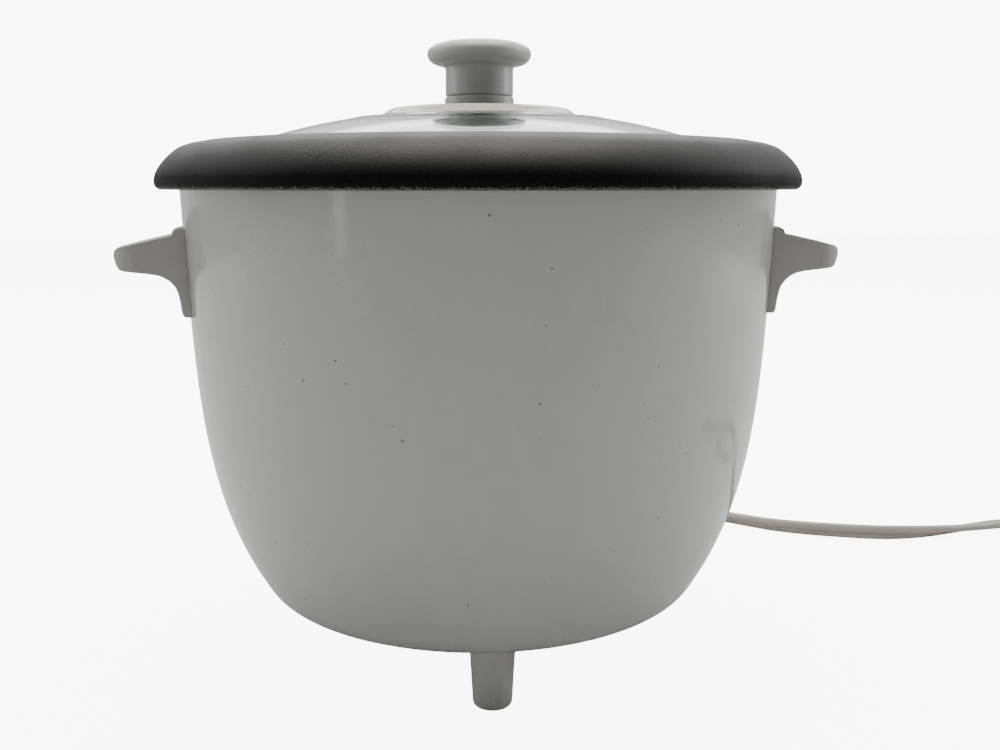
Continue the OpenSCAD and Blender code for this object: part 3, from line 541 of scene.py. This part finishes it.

# %% [markdown]
# ### The finishes that show
# The bowl is baked enamel: glossy, a little wavy because the steel under it was pressed, with fine dust
# nibs. The handles, knob and feet are the same pale plastic with less shine; the knob and feet are given a
# lighter colour than the handles, painted light that lifts the shade on them. The pot has a black release
# coat with a fine sparkle, and the coat has chipped to bare metal along the raw rolled edge.

# %% Enamel, plastics and cord
finish("white_enamel", (0.56, 0.568, 0.553), (0.52, 0.528, 0.513), rough=0.11, spread=0.05, bump=0.12,
       depth=0.5, blotch=9, grain=420, speck=(0.22, 0.20, 0.19), speck_scale=620, speck_amount=0.018,
       Coat_Weight=0.5, Coat_Roughness=0.04)
finish("pale_plastic", (0.44, 0.435, 0.42), (0.40, 0.395, 0.38), rough=0.36, spread=0.1, bump=0.2, blotch=26,
       grain=1500, speck=(0.15, 0.14, 0.12), speck_scale=450, speck_amount=0.012)
# Painted light: the knob is made lighter than the handles, though it is the same plastic, to lift the shade on
# it.
finish("knob_plastic", (0.66, 0.675, 0.66), (0.61, 0.625, 0.61), rough=0.33, spread=0.1, bump=0.15, blotch=30,
       grain=1500, speck=(0.2, 0.2, 0.18), speck_scale=500, speck_amount=0.008)
# Painted light: the feet are made lighter than the handles' same plastic, to lift the shade under the bowl.
finish("grey_foot", (0.60, 0.60, 0.575), (0.53, 0.53, 0.505), rough=0.48, spread=0.1, bump=0.25, blotch=45,
       grain=1300, speck=(0.16, 0.16, 0.14), speck_scale=700, speck_amount=0.02)
finish("cord_plastic", (0.45, 0.455, 0.43), (0.41, 0.415, 0.39), rough=0.42, spread=0.1, bump=0.15, blotch=40,
       grain=1600, speck=(0.2, 0.18, 0.15), speck_scale=500, speck_amount=0.01, Subsurface_Weight=0.05)
finish("red_lens", (0.55, 0.03, 0.02), (0.45, 0.02, 0.015), rough=0.12, spread=0.05, blotch=200,
       Transmission_Weight=0.45, Coat_Weight=0.5)
finish("amber_lens", (0.75, 0.30, 0.03), (0.65, 0.24, 0.02), rough=0.12, spread=0.05, blotch=200,
       Transmission_Weight=0.45, Coat_Weight=0.5)
print(len(FINISH), "finishes")

# %% Adding to a finish
def first(kind):
    """The node of one kind in the finish that is open in nodes and links."""
    return next(n for n in nodes if n.type == kind)


def worked(kind, a, b=0):
    """A sum or a test on two values."""
    node = nodes.new("ShaderNodeMath")
    node.operation = kind
    for socket, value in zip(node.inputs, (a, b)):
        if isinstance(value, (int, float)):
            socket.default_value = value
        else:
            links.new(value, socket)
    return node.outputs[0]


def placed():
    """The place on the object, whole and split in three, and its distance from the upright axis in metres."""
    where = nodes.new("ShaderNodeTexCoord").outputs["Object"]
    split = nodes.new("ShaderNodeSeparateXYZ")
    links.new(where, split.inputs[0])
    x, y = (worked("POWER", split.outputs[side], 2) for side in "XY")
    return where, split, worked("SQRT", worked("ADD", x, y))


def ranged(value, start, end, at_start, at_end):
    """A value that goes evenly from one number to another while its source goes from start to end."""
    node = nodes.new("ShaderNodeMapRange")
    for name, number in (("From Min", start), ("From Max", end), ("To Min", at_start), ("To Max", at_end)):
        node.inputs[name].default_value = number
    links.new(value, node.inputs["Value"])
    return node.outputs[0]


def recolour(amount, colour):
    """Mix another colour over the finish's own."""
    node = nodes.new("ShaderNodeMix")
    node.data_type = "RGBA"
    node.inputs[7].default_value = (*colour, 1)
    links.new(amount, node.inputs[0])
    links.new(first("GROUP").outputs["Colour"], node.inputs[6])
    links.new(node.outputs[2], first("BSDF_PRINCIPLED").inputs["Base Color"])


print("finishes can be added to")

# %% The release coat
nodes, links = finish("speckled_black", (0.004, 0.0044, 0.0045), (0.008, 0.0086, 0.0086), rough=0.56,
                      spread=0.12, bump=1.0, depth=0.16, blotch=60, grain=1500, speck=(0.03, 0.032, 0.032),
                      speck_scale=1900, speck_amount=0.40)
skirt_over = 6
skirt_low = high("outer_shell").z - skirt_over
chips_from, chips_to, chip_scale, chip_r = -0.3, 1.9, 2300, 0.118
ragged_by, torn_at, bare_metal = 2.2, 0.86, 0.6
sheen_from, sheen_to, dull, bright = 4, 13, 0.06, 0.6

where, split, across = placed()
ragged = nodes.new("ShaderNodeTexNoise")
ragged.inputs["Scale"].default_value = chip_scale
ragged.inputs["Detail"].default_value = 3
links.new(where, ragged.inputs["Vector"])
near_edge = ranged(split.outputs["Z"], (skirt_low + chips_from) * MM, (skirt_low + chips_to) * MM, 1, 0)
swing = worked("MULTIPLY", worked("SUBTRACT", ragged.outputs["Fac"], 0.5), ragged_by)
torn = worked("GREATER_THAN", worked("ADD", near_edge, swing), torn_at)
chips = worked("MULTIPLY", torn, worked("GREATER_THAN", across, chip_r))
recolour(chips, (0.20, 0.19, 0.175))
body = first("BSDF_PRINCIPLED")
links.new(worked("MULTIPLY", chips, bare_metal), body.inputs["Metallic"])
sheen = ranged(split.outputs["Z"], (skirt_low + sheen_from) * MM, (skirt_low + sheen_to) * MM, dull, bright)
links.new(sheen, body.inputs["Specular IOR Level"])
print("release coat chips below", round(skirt_low + chips_to, 1), "mm")

# %% [markdown]
# The lid is pale green tempered glass. Where it steps down from its flat crown, a painted highlight stands
# in for the light that the step's thick glass carries: a narrow ring is made pale beige and partly opaque.

# %% Glass
nodes, links = finish("clear_glass", (0.93, 0.965, 0.95), (0.91, 0.95, 0.935), rough=0.02, spread=0.02,
                      bump=0.02, depth=0.3, blotch=14, grain=300, IOR=1.25)
# Painted highlight: a pale beige, partly opaque ring where the crown steps down, in place of the light through
# the thick glass.
ring_r, ring_inner, ring_outer, highlight_strength = 0.0372, 0.0024, 0.0036, 0.82
where, split, across = placed()
from_ring = worked("ABSOLUTE", worked("SUBTRACT", across, ring_r))
painted_highlight = ranged(from_ring, ring_inner, ring_outer, highlight_strength, 0)
recolour(painted_highlight, (0.90, 0.88, 0.82))
links.new(worked("SUBTRACT", 1, painted_highlight), first("BSDF_PRINCIPLED").inputs["Transmission Weight"])
print(len(FINISH), "finishes in all")

# %% [markdown]
# ## Settling a piece
# Each finished piece is smoothed, given its finish and tied to the body that it moves with, and the CAD
# nodes that it replaces are hidden.

# %% Settling
def settle(piece, body, slot, *cad_nodes, angle=40):
    smooth(piece, angle)
    piece.data.materials.clear()
    piece.data.materials.append(FINISH[slot])
    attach(piece, body)
    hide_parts(*cad_nodes)
    lo = [round(min(v.co[i] for v in piece.data.vertices) / MM, 1) for i in range(3)]
    hi = [round(max(v.co[i] for v in piece.data.vertices) / MM, 1) for i in range(3)]
    print(piece.name, len(piece.data.polygons), "faces, from", lo, "to", hi, "mm")
    return piece


print("settle ready")

# %% [markdown]
# ## Power cord
# A flat two-core lead: two round cores side by side, joined by a thin web. It leaves low on the bowl
# through a tapered sleeve, drops to the table, runs past the right of the view, and the rest is wound in a
# neat coil with a tie, just out of sight. It is made as a tube: a figure-of-eight outline is carried along
# a smooth line of points. Where it crosses the view it lies rolled part way onto its edge, so it stands a
# little higher there.

# %% Route of the cord
exit_turn = math.radians(35)
exit_way = Vector((-math.sin(exit_turn), -math.cos(exit_turn), 0))
exit_z = low("outer_shell").z + 15
exit_r, sleeve_len = 95.4, 28.0
sleeve_end = exit_way * (exit_r + sleeve_len) + Vector((0, 0, exit_z))
cord_w = 8.0
flat_z, on_edge_rise = 2.1, 2.0
coil_mid = middle("cord_coil")
coil_r, turns, coil_steps = 42.0, 2.25, 40
outer_gap, ring_step, climb_out, climb_up = 4.8, 9.4, 4.6, 4.3
inward_from, inward_for, climb_from, climb_for = 0.7, 0.3, 1.72, 0.26

run = [tuple(sleeve_end - exit_way * 5), tuple(sleeve_end + exit_way * 1.5), (-79, -112, 33.2),
       (-87, -121.5, 24), (-95.5, -129, 13), (-105, -134.5, 5.6), (-115, -137, 2.4), (-127, -136, flat_z),
       (-139, -130.5, flat_z), (-151, -121.5, flat_z), (-164, -111.5, flat_z), (-180, -103.6, flat_z),
       (-200, -97, flat_z), (-219, -92.6, flat_z), (-238, -92.4, flat_z), (-258, -96.8, flat_z),
       (-279, -104, flat_z), (-300, -108.6, flat_z)]
roll_at = [0, 0, 0, 0, 5, 15, 30, 42, 50, 57, 65, 73, 80, 84, 66, 36, 10, 0]
coil = []
for i in range(1, coil_steps + 1):
    u = turns * i / coil_steps
    inward = min(1, max(0, (u - inward_from) / inward_for))
    climb = min(1, max(0, (u - climb_from) / climb_for))
    out_r = coil_r + outer_gap - ring_step * inward + climb_out * climb
    a = math.radians(-90 - 360 * u)
    coil.append((coil_mid.x + out_r * math.cos(a), coil_mid.y + out_r * math.sin(a),
                 flat_z + climb_up * climb))
plug_lo, plug_hi, plug_mid = low("plug_body"), high("plug_body"), middle("plug_body")
tail_x = coil_mid.x - coil_r
tail = [(tail_x, -48, 6.4), (tail_x, -34, 6.2), (tail_x, -20, 5.6), (tail_x, -8, 6.0),
        (tail_x, plug_lo.y + 1.5, plug_mid.z)]
line = smooth_through([Vector(p) for p in run + coil + tail], 5)
rolls = [roll for roll, _ in smooth_through([(a, 0) for a in roll_at + [0] * (len(coil) + len(tail))], 5)]
cord_path = []
for (x, y, z), roll in zip(line, rolls):
    on_table = z < cord_w
    raised = flat_z + on_edge_rise * math.sin(math.radians(max(roll, 0))) if on_table else flat_z
    cord_path.append((x, y, max(z, raised)))

# %% Cord tube
def core_outline():
    """The figure-of-eight outline of a flat two-core lead, as (sideways, up) in millimetres."""
    core_mid, core_wide, core_tall = 1.95, 2.02, 2.0
    points = []
    for side in (1, -1):
        for degrees in range(-155, 156, 31):
            a = math.radians(degrees)
            points.append((side * (core_mid + core_wide * math.cos(a)), side * core_tall * math.sin(a)))
    return points


def cord_tube(name, path, rolls):
    """A tube with the two-core outline, carried along the path and rolled about it."""
    outline = core_outline()
    count = len(outline)
    verts, faces = [], []
    for i, point in enumerate(path):
        here = Vector(point)
        way = (Vector(path[min(i + 1, len(path) - 1)]) - Vector(path[max(i - 1, 0)])).normalized()
        side = way.cross(Vector((0, 0, 1))).normalized()
        up = side.cross(way).normalized()
        a = math.radians(rolls[i])
        for sx, uz in outline:
            s, u = sx * math.cos(a) - uz * math.sin(a), sx * math.sin(a) + uz * math.cos(a)
            verts.append((here + side * s + up * u) * MM)
        if i:
            base = (i - 1) * count
            for k in range(count):
                n = (k + 1) % count
                faces.append((base + k, base + n, base + count + n, base + count + k))
    faces.append(tuple(range(count)))
    faces.append(tuple(len(verts) - count + k for k in range(count)))
    mesh = bpy.data.meshes.new(name)
    mesh.from_pydata([tuple(v) for v in verts], [], faces)
    piece = bpy.data.objects.new(name, mesh)
    bpy.context.collection.objects.link(piece)
    tidy_mesh(piece)
    return piece


lead = cord_tube("cord", cord_path, rolls)
settle(lead, "housing", "cord_plastic", "power_cord", "cord_coil", "cord_tail", angle=60)

# %% [markdown]
# ## The bowl
# The bowl is one sheet of steel, deep drawn and enamelled. Its wall narrows a little and then turns in
# faster and faster towards a rounded bottom edge. The outside line is spun, and Solidify gives it the
# sheet's thickness on the inside, as a presser thinks of it. The slot for the lever and the hole for the
# cord are cut afterwards.

# %% Bowl wall
top_z, base_z, bowl_r = high("outer_shell").z, low("outer_shell").z, high("outer_shell").x
tall = top_z - base_z
taper, turn_in, turn_sharpness = 0.05, 0.22, 4.5
edge_x, edge_r, bottom_hole = 78.37, 14.59, 63.87
rim_drop, wall_share, wall_steps, sheet, snug = 2.2, 0.96, 48, 1.0, 0.06


def wall_r(z):
    t = (top_z - z) / tall
    return bowl_r * (1 - taper * t - turn_in * t ** turn_sharpness)


edge_mid = (edge_x, base_z + edge_r)
rim_z = top_z - rim_drop
heights = [rim_z - i * (tall * wall_share - rim_drop) / wall_steps for i in range(wall_steps + 1)]
wall_line = [(wall_r(z), z) for z in heights]
wall_end = math.degrees(math.atan2(wall_line[-1][1] - edge_mid[1], wall_line[-1][0] - edge_mid[0]))
edge_line = arc(*edge_mid, edge_r, wall_end, -90, 12)[1:]
bowl_line = rounded([(103.3, top_z, 0), (bowl_r - 0.1, top_z, 2), (wall_r(rim_z), rim_z, 0)], 5)
bowl_line += wall_line[1:] + edge_line + [(74, base_z), (68, base_z), (bottom_hole, base_z)]
bowl = turned("bowl", bowl_line, steps=160)
print("bowl line of", len(bowl_line), "points, mid height", round(wall_r((top_z + base_z) / 2), 1), "mm out")

# %% Bowl thickness and cuts
outward = sum(f.normal.dot(Vector((f.center.x, f.center.y, 0)).normalized()) for f in bowl.data.polygons)
if outward < 0:
    open_edit(bowl)
    bpy.ops.mesh.flip_normals()
    close_edit()
modify(bowl, "SOLIDIFY", thickness=sheet * MM, offset=-1)
key_low, key_high = low("lever_key"), high("lever_key")
cut(bowl, brick("slot_cutter", (-8, -bowl_r - 4, key_low.z - 5), (8, -80, key_high.z + 1)))
hole = turned("cord_hole", [(0, 0), (5.9, 0), (5.9, 40), (0, 40)], steps=32)
move(hole, turn=90, axis="Y")
move(hole, x=70, z=exit_z)
move(hole, turn=math.degrees(math.atan2(exit_way.y, exit_way.x)))
cut(bowl, hole)
settle(bowl, "housing", "white_enamel", "outer_shell", angle=35)

# %% [markdown]
# ## The pot and its flange
# The pot is spun from one disc: a flat bottom, a rounded corner, a straight wall, a step that the lid sits
# in, then the wide drooping flange that hides the bowl's rim, and a curl at its edge. Here the middle of
# the sheet is drawn, so Solidify grows it both ways.

# %% Pot
pot_inside, pot_t, seat_w, seat_drop = 97, 2.2, 7.4, 9.3
flange_r, flange_top, pot_base = high("inner_pot").x, high("inner_pot").z, low("inner_pot").z
half_t = pot_t / 2
flange_low, seat_z, low_mid = top_z - skirt_over, flange_top - seat_drop, pot_base + half_t
pot_mid, lip_r = pot_inside + half_t, pot_inside + seat_w + half_t
corner, step_bend, lip_bend, curl = 24, 1.4, 2.2, 1.6
shoulder = (flange_top - flange_low) * 0.64 - half_t
shoulder_mid = (flange_r - half_t - shoulder, flange_low + 4.5)
curl_way = math.radians(-16)
curl_mid = (shoulder_mid[0] + (shoulder - curl) * math.cos(curl_way),
            shoulder_mid[1] + (shoulder - curl) * math.sin(curl_way))

pot_line = [(x, low_mid) for x in (0, 20, 45, 62)]
pot_line += arc(pot_mid - corner, low_mid + corner, corner, -90, 0, 14)
pot_line += [(pot_mid, z) for z in (110, 130, 150, 170, 185)]
pot_line += arc(pot_mid + step_bend, seat_z - half_t - step_bend, step_bend, 180, 90, 4)
pot_line += arc(lip_r - step_bend, seat_z - half_t + step_bend, step_bend, -90, 0, 4)
pot_line += arc(lip_r + lip_bend, flange_top - half_t - lip_bend, lip_bend, 180, 75, 6)
pot_line += smooth_through([(flange_r - 14.2, flange_top - 2.05), (flange_r - 10.3, flange_top - 3.5),
                            (flange_r - 6.3, flange_top - 6.7), (flange_r - 3.3, flange_top - 10.2),
                            (flange_r - 1.8, flange_top - 13.2), (flange_r - 1.5, flange_low + 1.75)], 5)
pot_line += arc(*curl_mid, curl, -46, -166, 6)
pot = turned("pot", pot_line, steps=200)
modify(pot, "SOLIDIFY", thickness=pot_t * MM, offset=0)
settle(pot, "pot", "speckled_black", "inner_pot", angle=50)

# %% [markdown]
# ## The glass lid
# The lid is one slumped disc of tempered glass: a flat raised crown under the knob, a small step, and a
# dome that steepens towards the rim. The rim is ground round, which a Bevel does after the sheet has its
# thickness. A small steam hole goes through it on the lever's side.

# %% Glass lid
glass_t, lid_play, screw_hole_r, vent_r, vent_y = 3.6, 1.4, 3.7, 2.5, -62
crown_r, crown_z = 36.0, high("lid_glass").z - glass_t / 2
lid_r, step_r = pot_inside + seat_w - lid_play, crown_r + 3
step_drop, dome_drop, dome_steps = 2.9, 15.8, 30
lid_line = rounded([(screw_hole_r, crown_z, 0), (crown_r - 1, crown_z, 5), (step_r, crown_z - step_drop, 4),
                    (step_r + 12, crown_z - 4.2, 0)], 6)
for i in range(5, dome_steps + 1):
    u = i / dome_steps
    fall = 0.40 * u + 0.60 * u * u
    lid_line.append((step_r + (lid_r - step_r) * u, crown_z - step_drop - dome_drop * fall))
lid_line = [p for i, p in enumerate(lid_line) if i == 0 or p[0] > lid_line[i - 1][0] + 0.05]
lid = turned("glass", lid_line, steps=180)
modify(lid, "SOLIDIFY", thickness=glass_t * MM, offset=0)
vent = turned("vent_cutter", [(0, 0), (vent_r, 0), (vent_r, 60), (0, 60)], steps=32)
move(vent, y=vent_y, z=180)
cut(lid, vent)
soften(lid, 1.1, segments=4, angle=50)
settle(lid, "lid", "clear_glass", "lid_glass", angle=40)

# %% [markdown]
# ## The knob
# The knob is a mushroom: a straight stem and a cushion-shaped cap. It clamps on the glass between a collar
# above and a flat disc below, pulled together by one screw. The cap's line is free-hand, so it is drawn as
# a smooth curve through a few points, and the seams above and below the collar are left by rounding each
# part's own edges.

# %% Knob, collar and disc
knob_r, knob_top, knob_low = high("lid_knob").x, high("lid_knob").z, low("lid_knob").z
brim = knob_top - 10.0
stem_r, bore_r, bore_depth, seam = 13.6, 2.7, 12, 0.05
cap = smooth_through([(stem_r, brim - 1.8), (13.85, brim - 0.6), (15.2, brim + 0.15), (17.8, brim + 0.8),
                      (19.9, brim + 2.2), (knob_r, brim + 4.5), (20.3, brim + 6.4), (18.2, brim + 8.0),
                      (13.8, brim + 9.2), (7.0, knob_top - 0.15), (0, knob_top)], 4)
knob_line = [(0, knob_low + bore_depth), (2.6, knob_low + bore_depth), (2.6, knob_low + seam),
             (stem_r - 0.6, knob_low + seam), (stem_r, knob_low + 0.65), (stem_r, knob_low + 4),
             (stem_r, brim - 6)] + cap
knob = turned("knob", knob_line, steps=96)
settle(knob, "lid", "knob_plastic", "lid_knob", angle=35)
collar_low = low("knob_collar").z
collar_r, collar_high = 13.9, knob_low - 0.1
collar_line = rounded([(bore_r, collar_low + seam, 0), (collar_r, collar_low + seam, 0.4),
                       (collar_r, collar_high, 0.6), (bore_r, collar_high, 0),
                       (bore_r, collar_low + seam, 0)], 4)
collar = turned("collar", collar_line, steps=96)
settle(collar, "lid", "knob_plastic", "knob_collar", angle=35)
under_low, under_high = low("knob_plate").z, high("knob_plate").z
under_r = high("knob_plate").x
disc_top, dish = under_high - seam, under_low + 0.8
disc_line = rounded([(bore_r, disc_top, 0), (13.2, disc_top, 0.5), (13.4, under_low + 2, 0.5),
                     (under_r, under_low + 1.9, 0.8), (under_r, under_low, 0.6), (9, under_low, 0.4),
                     (8, dish, 0.4), (bore_r, dish, 0), (bore_r, disc_top, 0)], 4)
disc = turned("under_disc", disc_line, steps=96)
settle(disc, "lid", "knob_plastic", "knob_plate", angle=35)

# %% [markdown]
# ## Side handles
# Each handle is a moulded lug with the bowl's curve on its inside, a nearly flat top, a hollowed underside
# that runs down into a root, and flat ends. One profile is spun through part of a turn about the bowl's own
# axis, which gives the fit against the bowl for nothing, and a block with rounded outer corners trims it. A
# bevel softens the mould's edges. The second handle is the first one mirrored, with its faces turned out
# again.

# %% Handles
tip_r = high("handle_left").x
handle_low, handle_high = low("handle_left").z, high("handle_left").z
half_w = high("handle_left").y
root = bowl_r + 1
under = smooth_through([(tip_r - 1.6, handle_low + 18.2), (tip_r - 3.2, handle_low + 17.4),
                        (tip_r - 7.5, handle_low + 16.9), (root + 10.3, handle_low + 16.2),
                        (root + 7, handle_low + 15.3), (root + 4.2, handle_low + 13.5),
                        (root + 2, handle_low + 10.6), (root + 1, handle_low + 7.4),
                        (root + 0.5, handle_low + 4.2), (root + 0.2, handle_low + 1.6)], 4)
heights = [handle_low + (handle_high - handle_low) * i / 10 for i in range(11)]
inside = [(wall_r(z) + snug, z) for z in heights]
profile = inside + [(root + 1.0, handle_high), (root + 2.0, handle_high - 0.6),
                    (root + 2.7, handle_high - 2.4), (root + 9, handle_high - 3.8),
                    (root + 16, handle_high - 5.4), (tip_r - 1.7, handle_high - 7.0),
                    (tip_r - 0.5, handle_high - 7.9), (tip_r, handle_low + 23), (tip_r - 0.7, handle_low + 20)]
profile += under + [(root - 0.2, handle_low + 0.3), (root - 0.8, handle_low), inside[0]]
grip = turned("handle_east", profile, steps=36, angle=52, start=-26)
cap_ends(grip)
trim = brick("handle_trim", (60, -half_w, handle_low - 5), (tip_r + 0.05, half_w, handle_high + 5))
handle_corner = 14
count = round_corners(trim, handle_corner, lambda mid, way: abs(way.z) > 0.9 and mid.x > 100)
cut(grip, trim, "INTERSECT")
tidy_mesh(grip, 0.01)
soften(grip, 1.3, segments=4, angle=42)
twin = copied(grip, "handle_west")
open_edit(twin)
bpy.ops.transform.resize(value=(-1, 1, 1), center_override=(0, 0, 0))
bpy.ops.mesh.normals_make_consistent(inside=False)
close_edit()
settle(grip, "housing", "pale_plastic", "handle_left", angle=35)
settle(twin, "housing", "pale_plastic", "handle_right", angle=35)
print("trimmed", count, "corners")

# %% [markdown]
# ## Feet
# Three tapered pegs carry the bowl. Their tops are cut to the bowl's rounded edge by a copy of that edge's
# line, and their lower edge is rounded. One foot is turned about its own axis, moved out and cut, and
# copied round.

# %% Feet
foot_r, foot_tip, foot_round, foot_top = 8.5, 7.2, 1.7, base_z + 13
foot_line = rounded([(0, 0, 0), (foot_tip, 0, foot_round), (foot_r, base_z + 3, 0), (foot_r, foot_top, 0),
                     (0, foot_top, 0)], 5)
foot = turned("foot_back", foot_line, steps=48)
move(foot, y=edge_x)
inside_line = [(0, base_z - snug), (edge_x, base_z - snug)]
inside_line += reversed(arc(*edge_mid, edge_r + snug, wall_end, -90, 12)[:-1])
inside_line += [(100, 60), (0, 60)]
bowl_room = turned("bowl_room", inside_line, steps=160)
cut(foot, bowl_room, keep=True)
soften(foot, 0.25, segments=2, angle=50)
front_feet = ("foot_front_left", "foot_front_right")
for name, angle in zip(front_feet, (240, 120)):
    other = copied(foot, name + "_peg")
    move(other, turn=angle)
    centre_x = sum(v.co.x for v in other.data.vertices) / len(other.data.vertices) / MM
    nearest = min(front_feet, key=lambda node: abs(middle(node).x - centre_x))
    settle(other, "housing", "grey_foot", nearest, angle=35)
settle(foot, "housing", "grey_foot", "foot_rear", angle=35)

# %% [markdown]
# ## Cord sleeve and plug
# The sleeve is a tapered rubbery cone with shallow rings, so that the lead bends gently where it leaves the
# bowl. It is turned upright, laid along the cord's way out, and trimmed to the bowl's wall. The moulded
# plug is a block whose back is drawn in, joined to a ringed neck.

# %% Sleeve
def ringed(start_r, end_r, start, end, rings, depth):
    """A tapering outline with shallow grooves, from a start height to an end height."""
    line = []
    for i in range(rings * 4 + 1):
        t = i / (rings * 4)
        dip = depth if i % 4 in (2, 3) else 0
        line.append((start_r + (end_r - start_r) * t - dip, start + (end - start) * t))
    return line


def lay_out(piece):
    """Lay an upright piece along the cord's way out of the bowl."""
    move(piece, turn=90, axis="Y")
    move(piece, x=exit_r, z=exit_z)
    move(piece, turn=math.degrees(math.atan2(exit_way.y, exit_way.x)))


sleeve_line = [(0, -1.5), (7.6, -1.5), (7.9, 2.6), (7.4, 3.4), (6.4, 3.7)]
sleeve_line += ringed(6.1, 4.9, 4.6, 26.5, 6, 0.7)
sleeve_line += [(4.9, 27.6), (4.3, 28), (0, 28)]
sleeve = turned("sleeve", sleeve_line, steps=48)
lay_out(sleeve)
cut(sleeve, bowl_room, keep=True)
settle(sleeve, "housing", "cord_plastic", "strain_relief", angle=35)

# %% Plug
grip_len, inset = 22, 0.05
grip_y = plug_hi.y - grip_len
plug = brick("plug", (plug_lo.x + inset, grip_y, plug_lo.z + inset),
             (plug_hi.x - inset, plug_hi.y, plug_hi.z - inset))
open_edit(plug)
bpy.ops.mesh.subdivide(number_cuts=3)
bpy.ops.mesh.select_all(action="DESELECT")
close_edit()
centre = (plug_mid.x * MM, 0, plug_mid.z * MM)
for y_from, y_to, width in ((grip_y - 1, grip_y + 1, 0.62), (grip_y + 4, grip_y + 7, 0.9)):
    for vert in plug.data.vertices:
        vert.select = y_from < vert.co.y / MM < y_to
    for edge in plug.data.edges:
        edge.select = all(plug.data.vertices[i].select for i in edge.vertices)
    bpy.ops.object.mode_set(mode="EDIT")
    bpy.ops.transform.resize(value=(width, 1, 0.5 + width / 2), center_override=centre)
    close_edit()
soften(plug, 2.2, segments=4, angle=50)
neck = turned("neck", [(0, 0.2)] + ringed(4.6, 5.7, 0.2, 14, 4, 0.6) + [(5.4, 16), (0, 16)], steps=40)
move(neck, turn=-90, axis="X")
move(neck, x=plug_mid.x, y=plug_lo.y, z=plug_mid.z)
cut(plug, neck, "UNION")
settle(plug, "housing", "cord_plastic", "plug_body", angle=35)
print("plug", [round(v, 1) for v in plug_lo], [round(v, 1) for v in plug_hi])

# %% [markdown]
# ## Control panel, lever key and lamps
# The panel is an apron that stands off the bowl's curve: its front is part of a larger upright cylinder, so
# it is spun through part of a turn, trimmed to a rounded outline by a block, and hollowed by a smaller copy
# of the same idea. The slot and lamp holes are cut, and the edges softened. The key is a small paddle with
# a thumb dip.

# %% Panel
panel_lo, panel_hi = low("control_panel").z, high("control_panel").z
panel_r, panel_half, panel_t, panel_corner = 121.0, high("control_panel").x, 2.2, 8
lamp_hole_r = 4.06


def apron(name, front, half, lo, hi, corner, behind=snug):
    """A block of the panel: a cylinder front, the bowl's wall behind, and an outline with rounded corners."""
    heights = [lo + (hi - lo) * i / 14 for i in range(15)]
    back = [(max(wall_r(z), 80) + behind, z) for z in heights]
    piece = turned(name, back + [(front, hi), (front, lo), back[0]], steps=40, angle=48, start=-114)
    cap_ends(piece)
    block = brick(name + "_trim", (-half, -140, lo - 0.01), (half, -60, hi + 0.01))
    round_corners(block, corner, lambda mid, way: abs(way.y) > 0.9)
    cut(piece, block, "INTERSECT")
    tidy_mesh(piece, 0.01)
    return piece


panel = apron("panel", panel_r, panel_half, panel_lo, panel_hi, panel_corner)
cut(panel, apron("panel_room", panel_r - panel_t, panel_half - panel_t, panel_lo + panel_t,
                 panel_hi - panel_t, panel_corner - panel_t, behind=-4))
key_lo, key_hi = low("lever_key"), high("lever_key")
cut(panel, brick("key_slot", (key_lo.x - 1, -140, panel_lo + 5), (key_hi.x + 1, -108, key_hi.z + 1.5)))
lamp = middle("lens_cook")
for side in (1, -1):
    bore = turned("lamp_bore", [(0, 0), (lamp_hole_r, 0), (lamp_hole_r, 30), (0, 30)], steps=40)
    move(bore, turn=90, axis="X")
    move(bore, x=side * abs(lamp.x), y=-105, z=lamp.z)
    cut(panel, bore)
soften(panel, 0.6, segments=3, angle=50)
settle(panel, "housing", "pale_plastic", "control_panel", angle=35)

# %% Key and lamps
key = brick("key", tuple(key_lo), tuple(key_hi))
soften(key, 2.4, segments=5, angle=50)
dip = turned("thumb_dip", [(0, -20), (16, -20), (16, 20), (0, 20)], steps=64)
move(dip, turn=90, axis="Y")
move(dip, y=key_lo.y + 8.5, z=key_hi.z + 14.9)
cut(key, dip)
soften(key, 0.4, segments=2, angle=25)
settle(key, "lever", "black_plastic", "lever_key", angle=35)
lens_r = 3.95
dome_line = [(0, 0), (lens_r, 0), (lens_r, 4.6), (3.6, 5.2), (2.9, 5.65), (1.9, 5.9), (0, 6)]
for name, slot in (("lens_cook", "red_lens"), ("lens_warm", "amber_lens")):
    lens = turned(name + "_dome", dome_line, steps=40)
    move(lens, turn=90, axis="X")
    move(lens, x=middle(name).x, y=high(name).y, z=middle(name).z)
    settle(lens, "housing", slot, name, angle=50)
bpy.data.objects.remove(bowl_room)

# %% [markdown]
# ## Carried-over pieces
# Pieces inside the bowl and under it keep their CAD shape, which is already right, and get the finish of
# their slot in the record.

# %% Finish for the CAD nodes
slot_of = {part["node"]: part["material_slot"] for part in frame["record"]["subparts"]}
kept = 0
for node_name, node in frame["nodes"].items():
    if node.hide_render:
        continue
    node.data.materials.clear()
    node.data.materials.append(FINISH[slot_of[node_name]])
    kept += 1
print(kept, "CAD nodes carried over")

# %% Leave nothing selected
deselect()
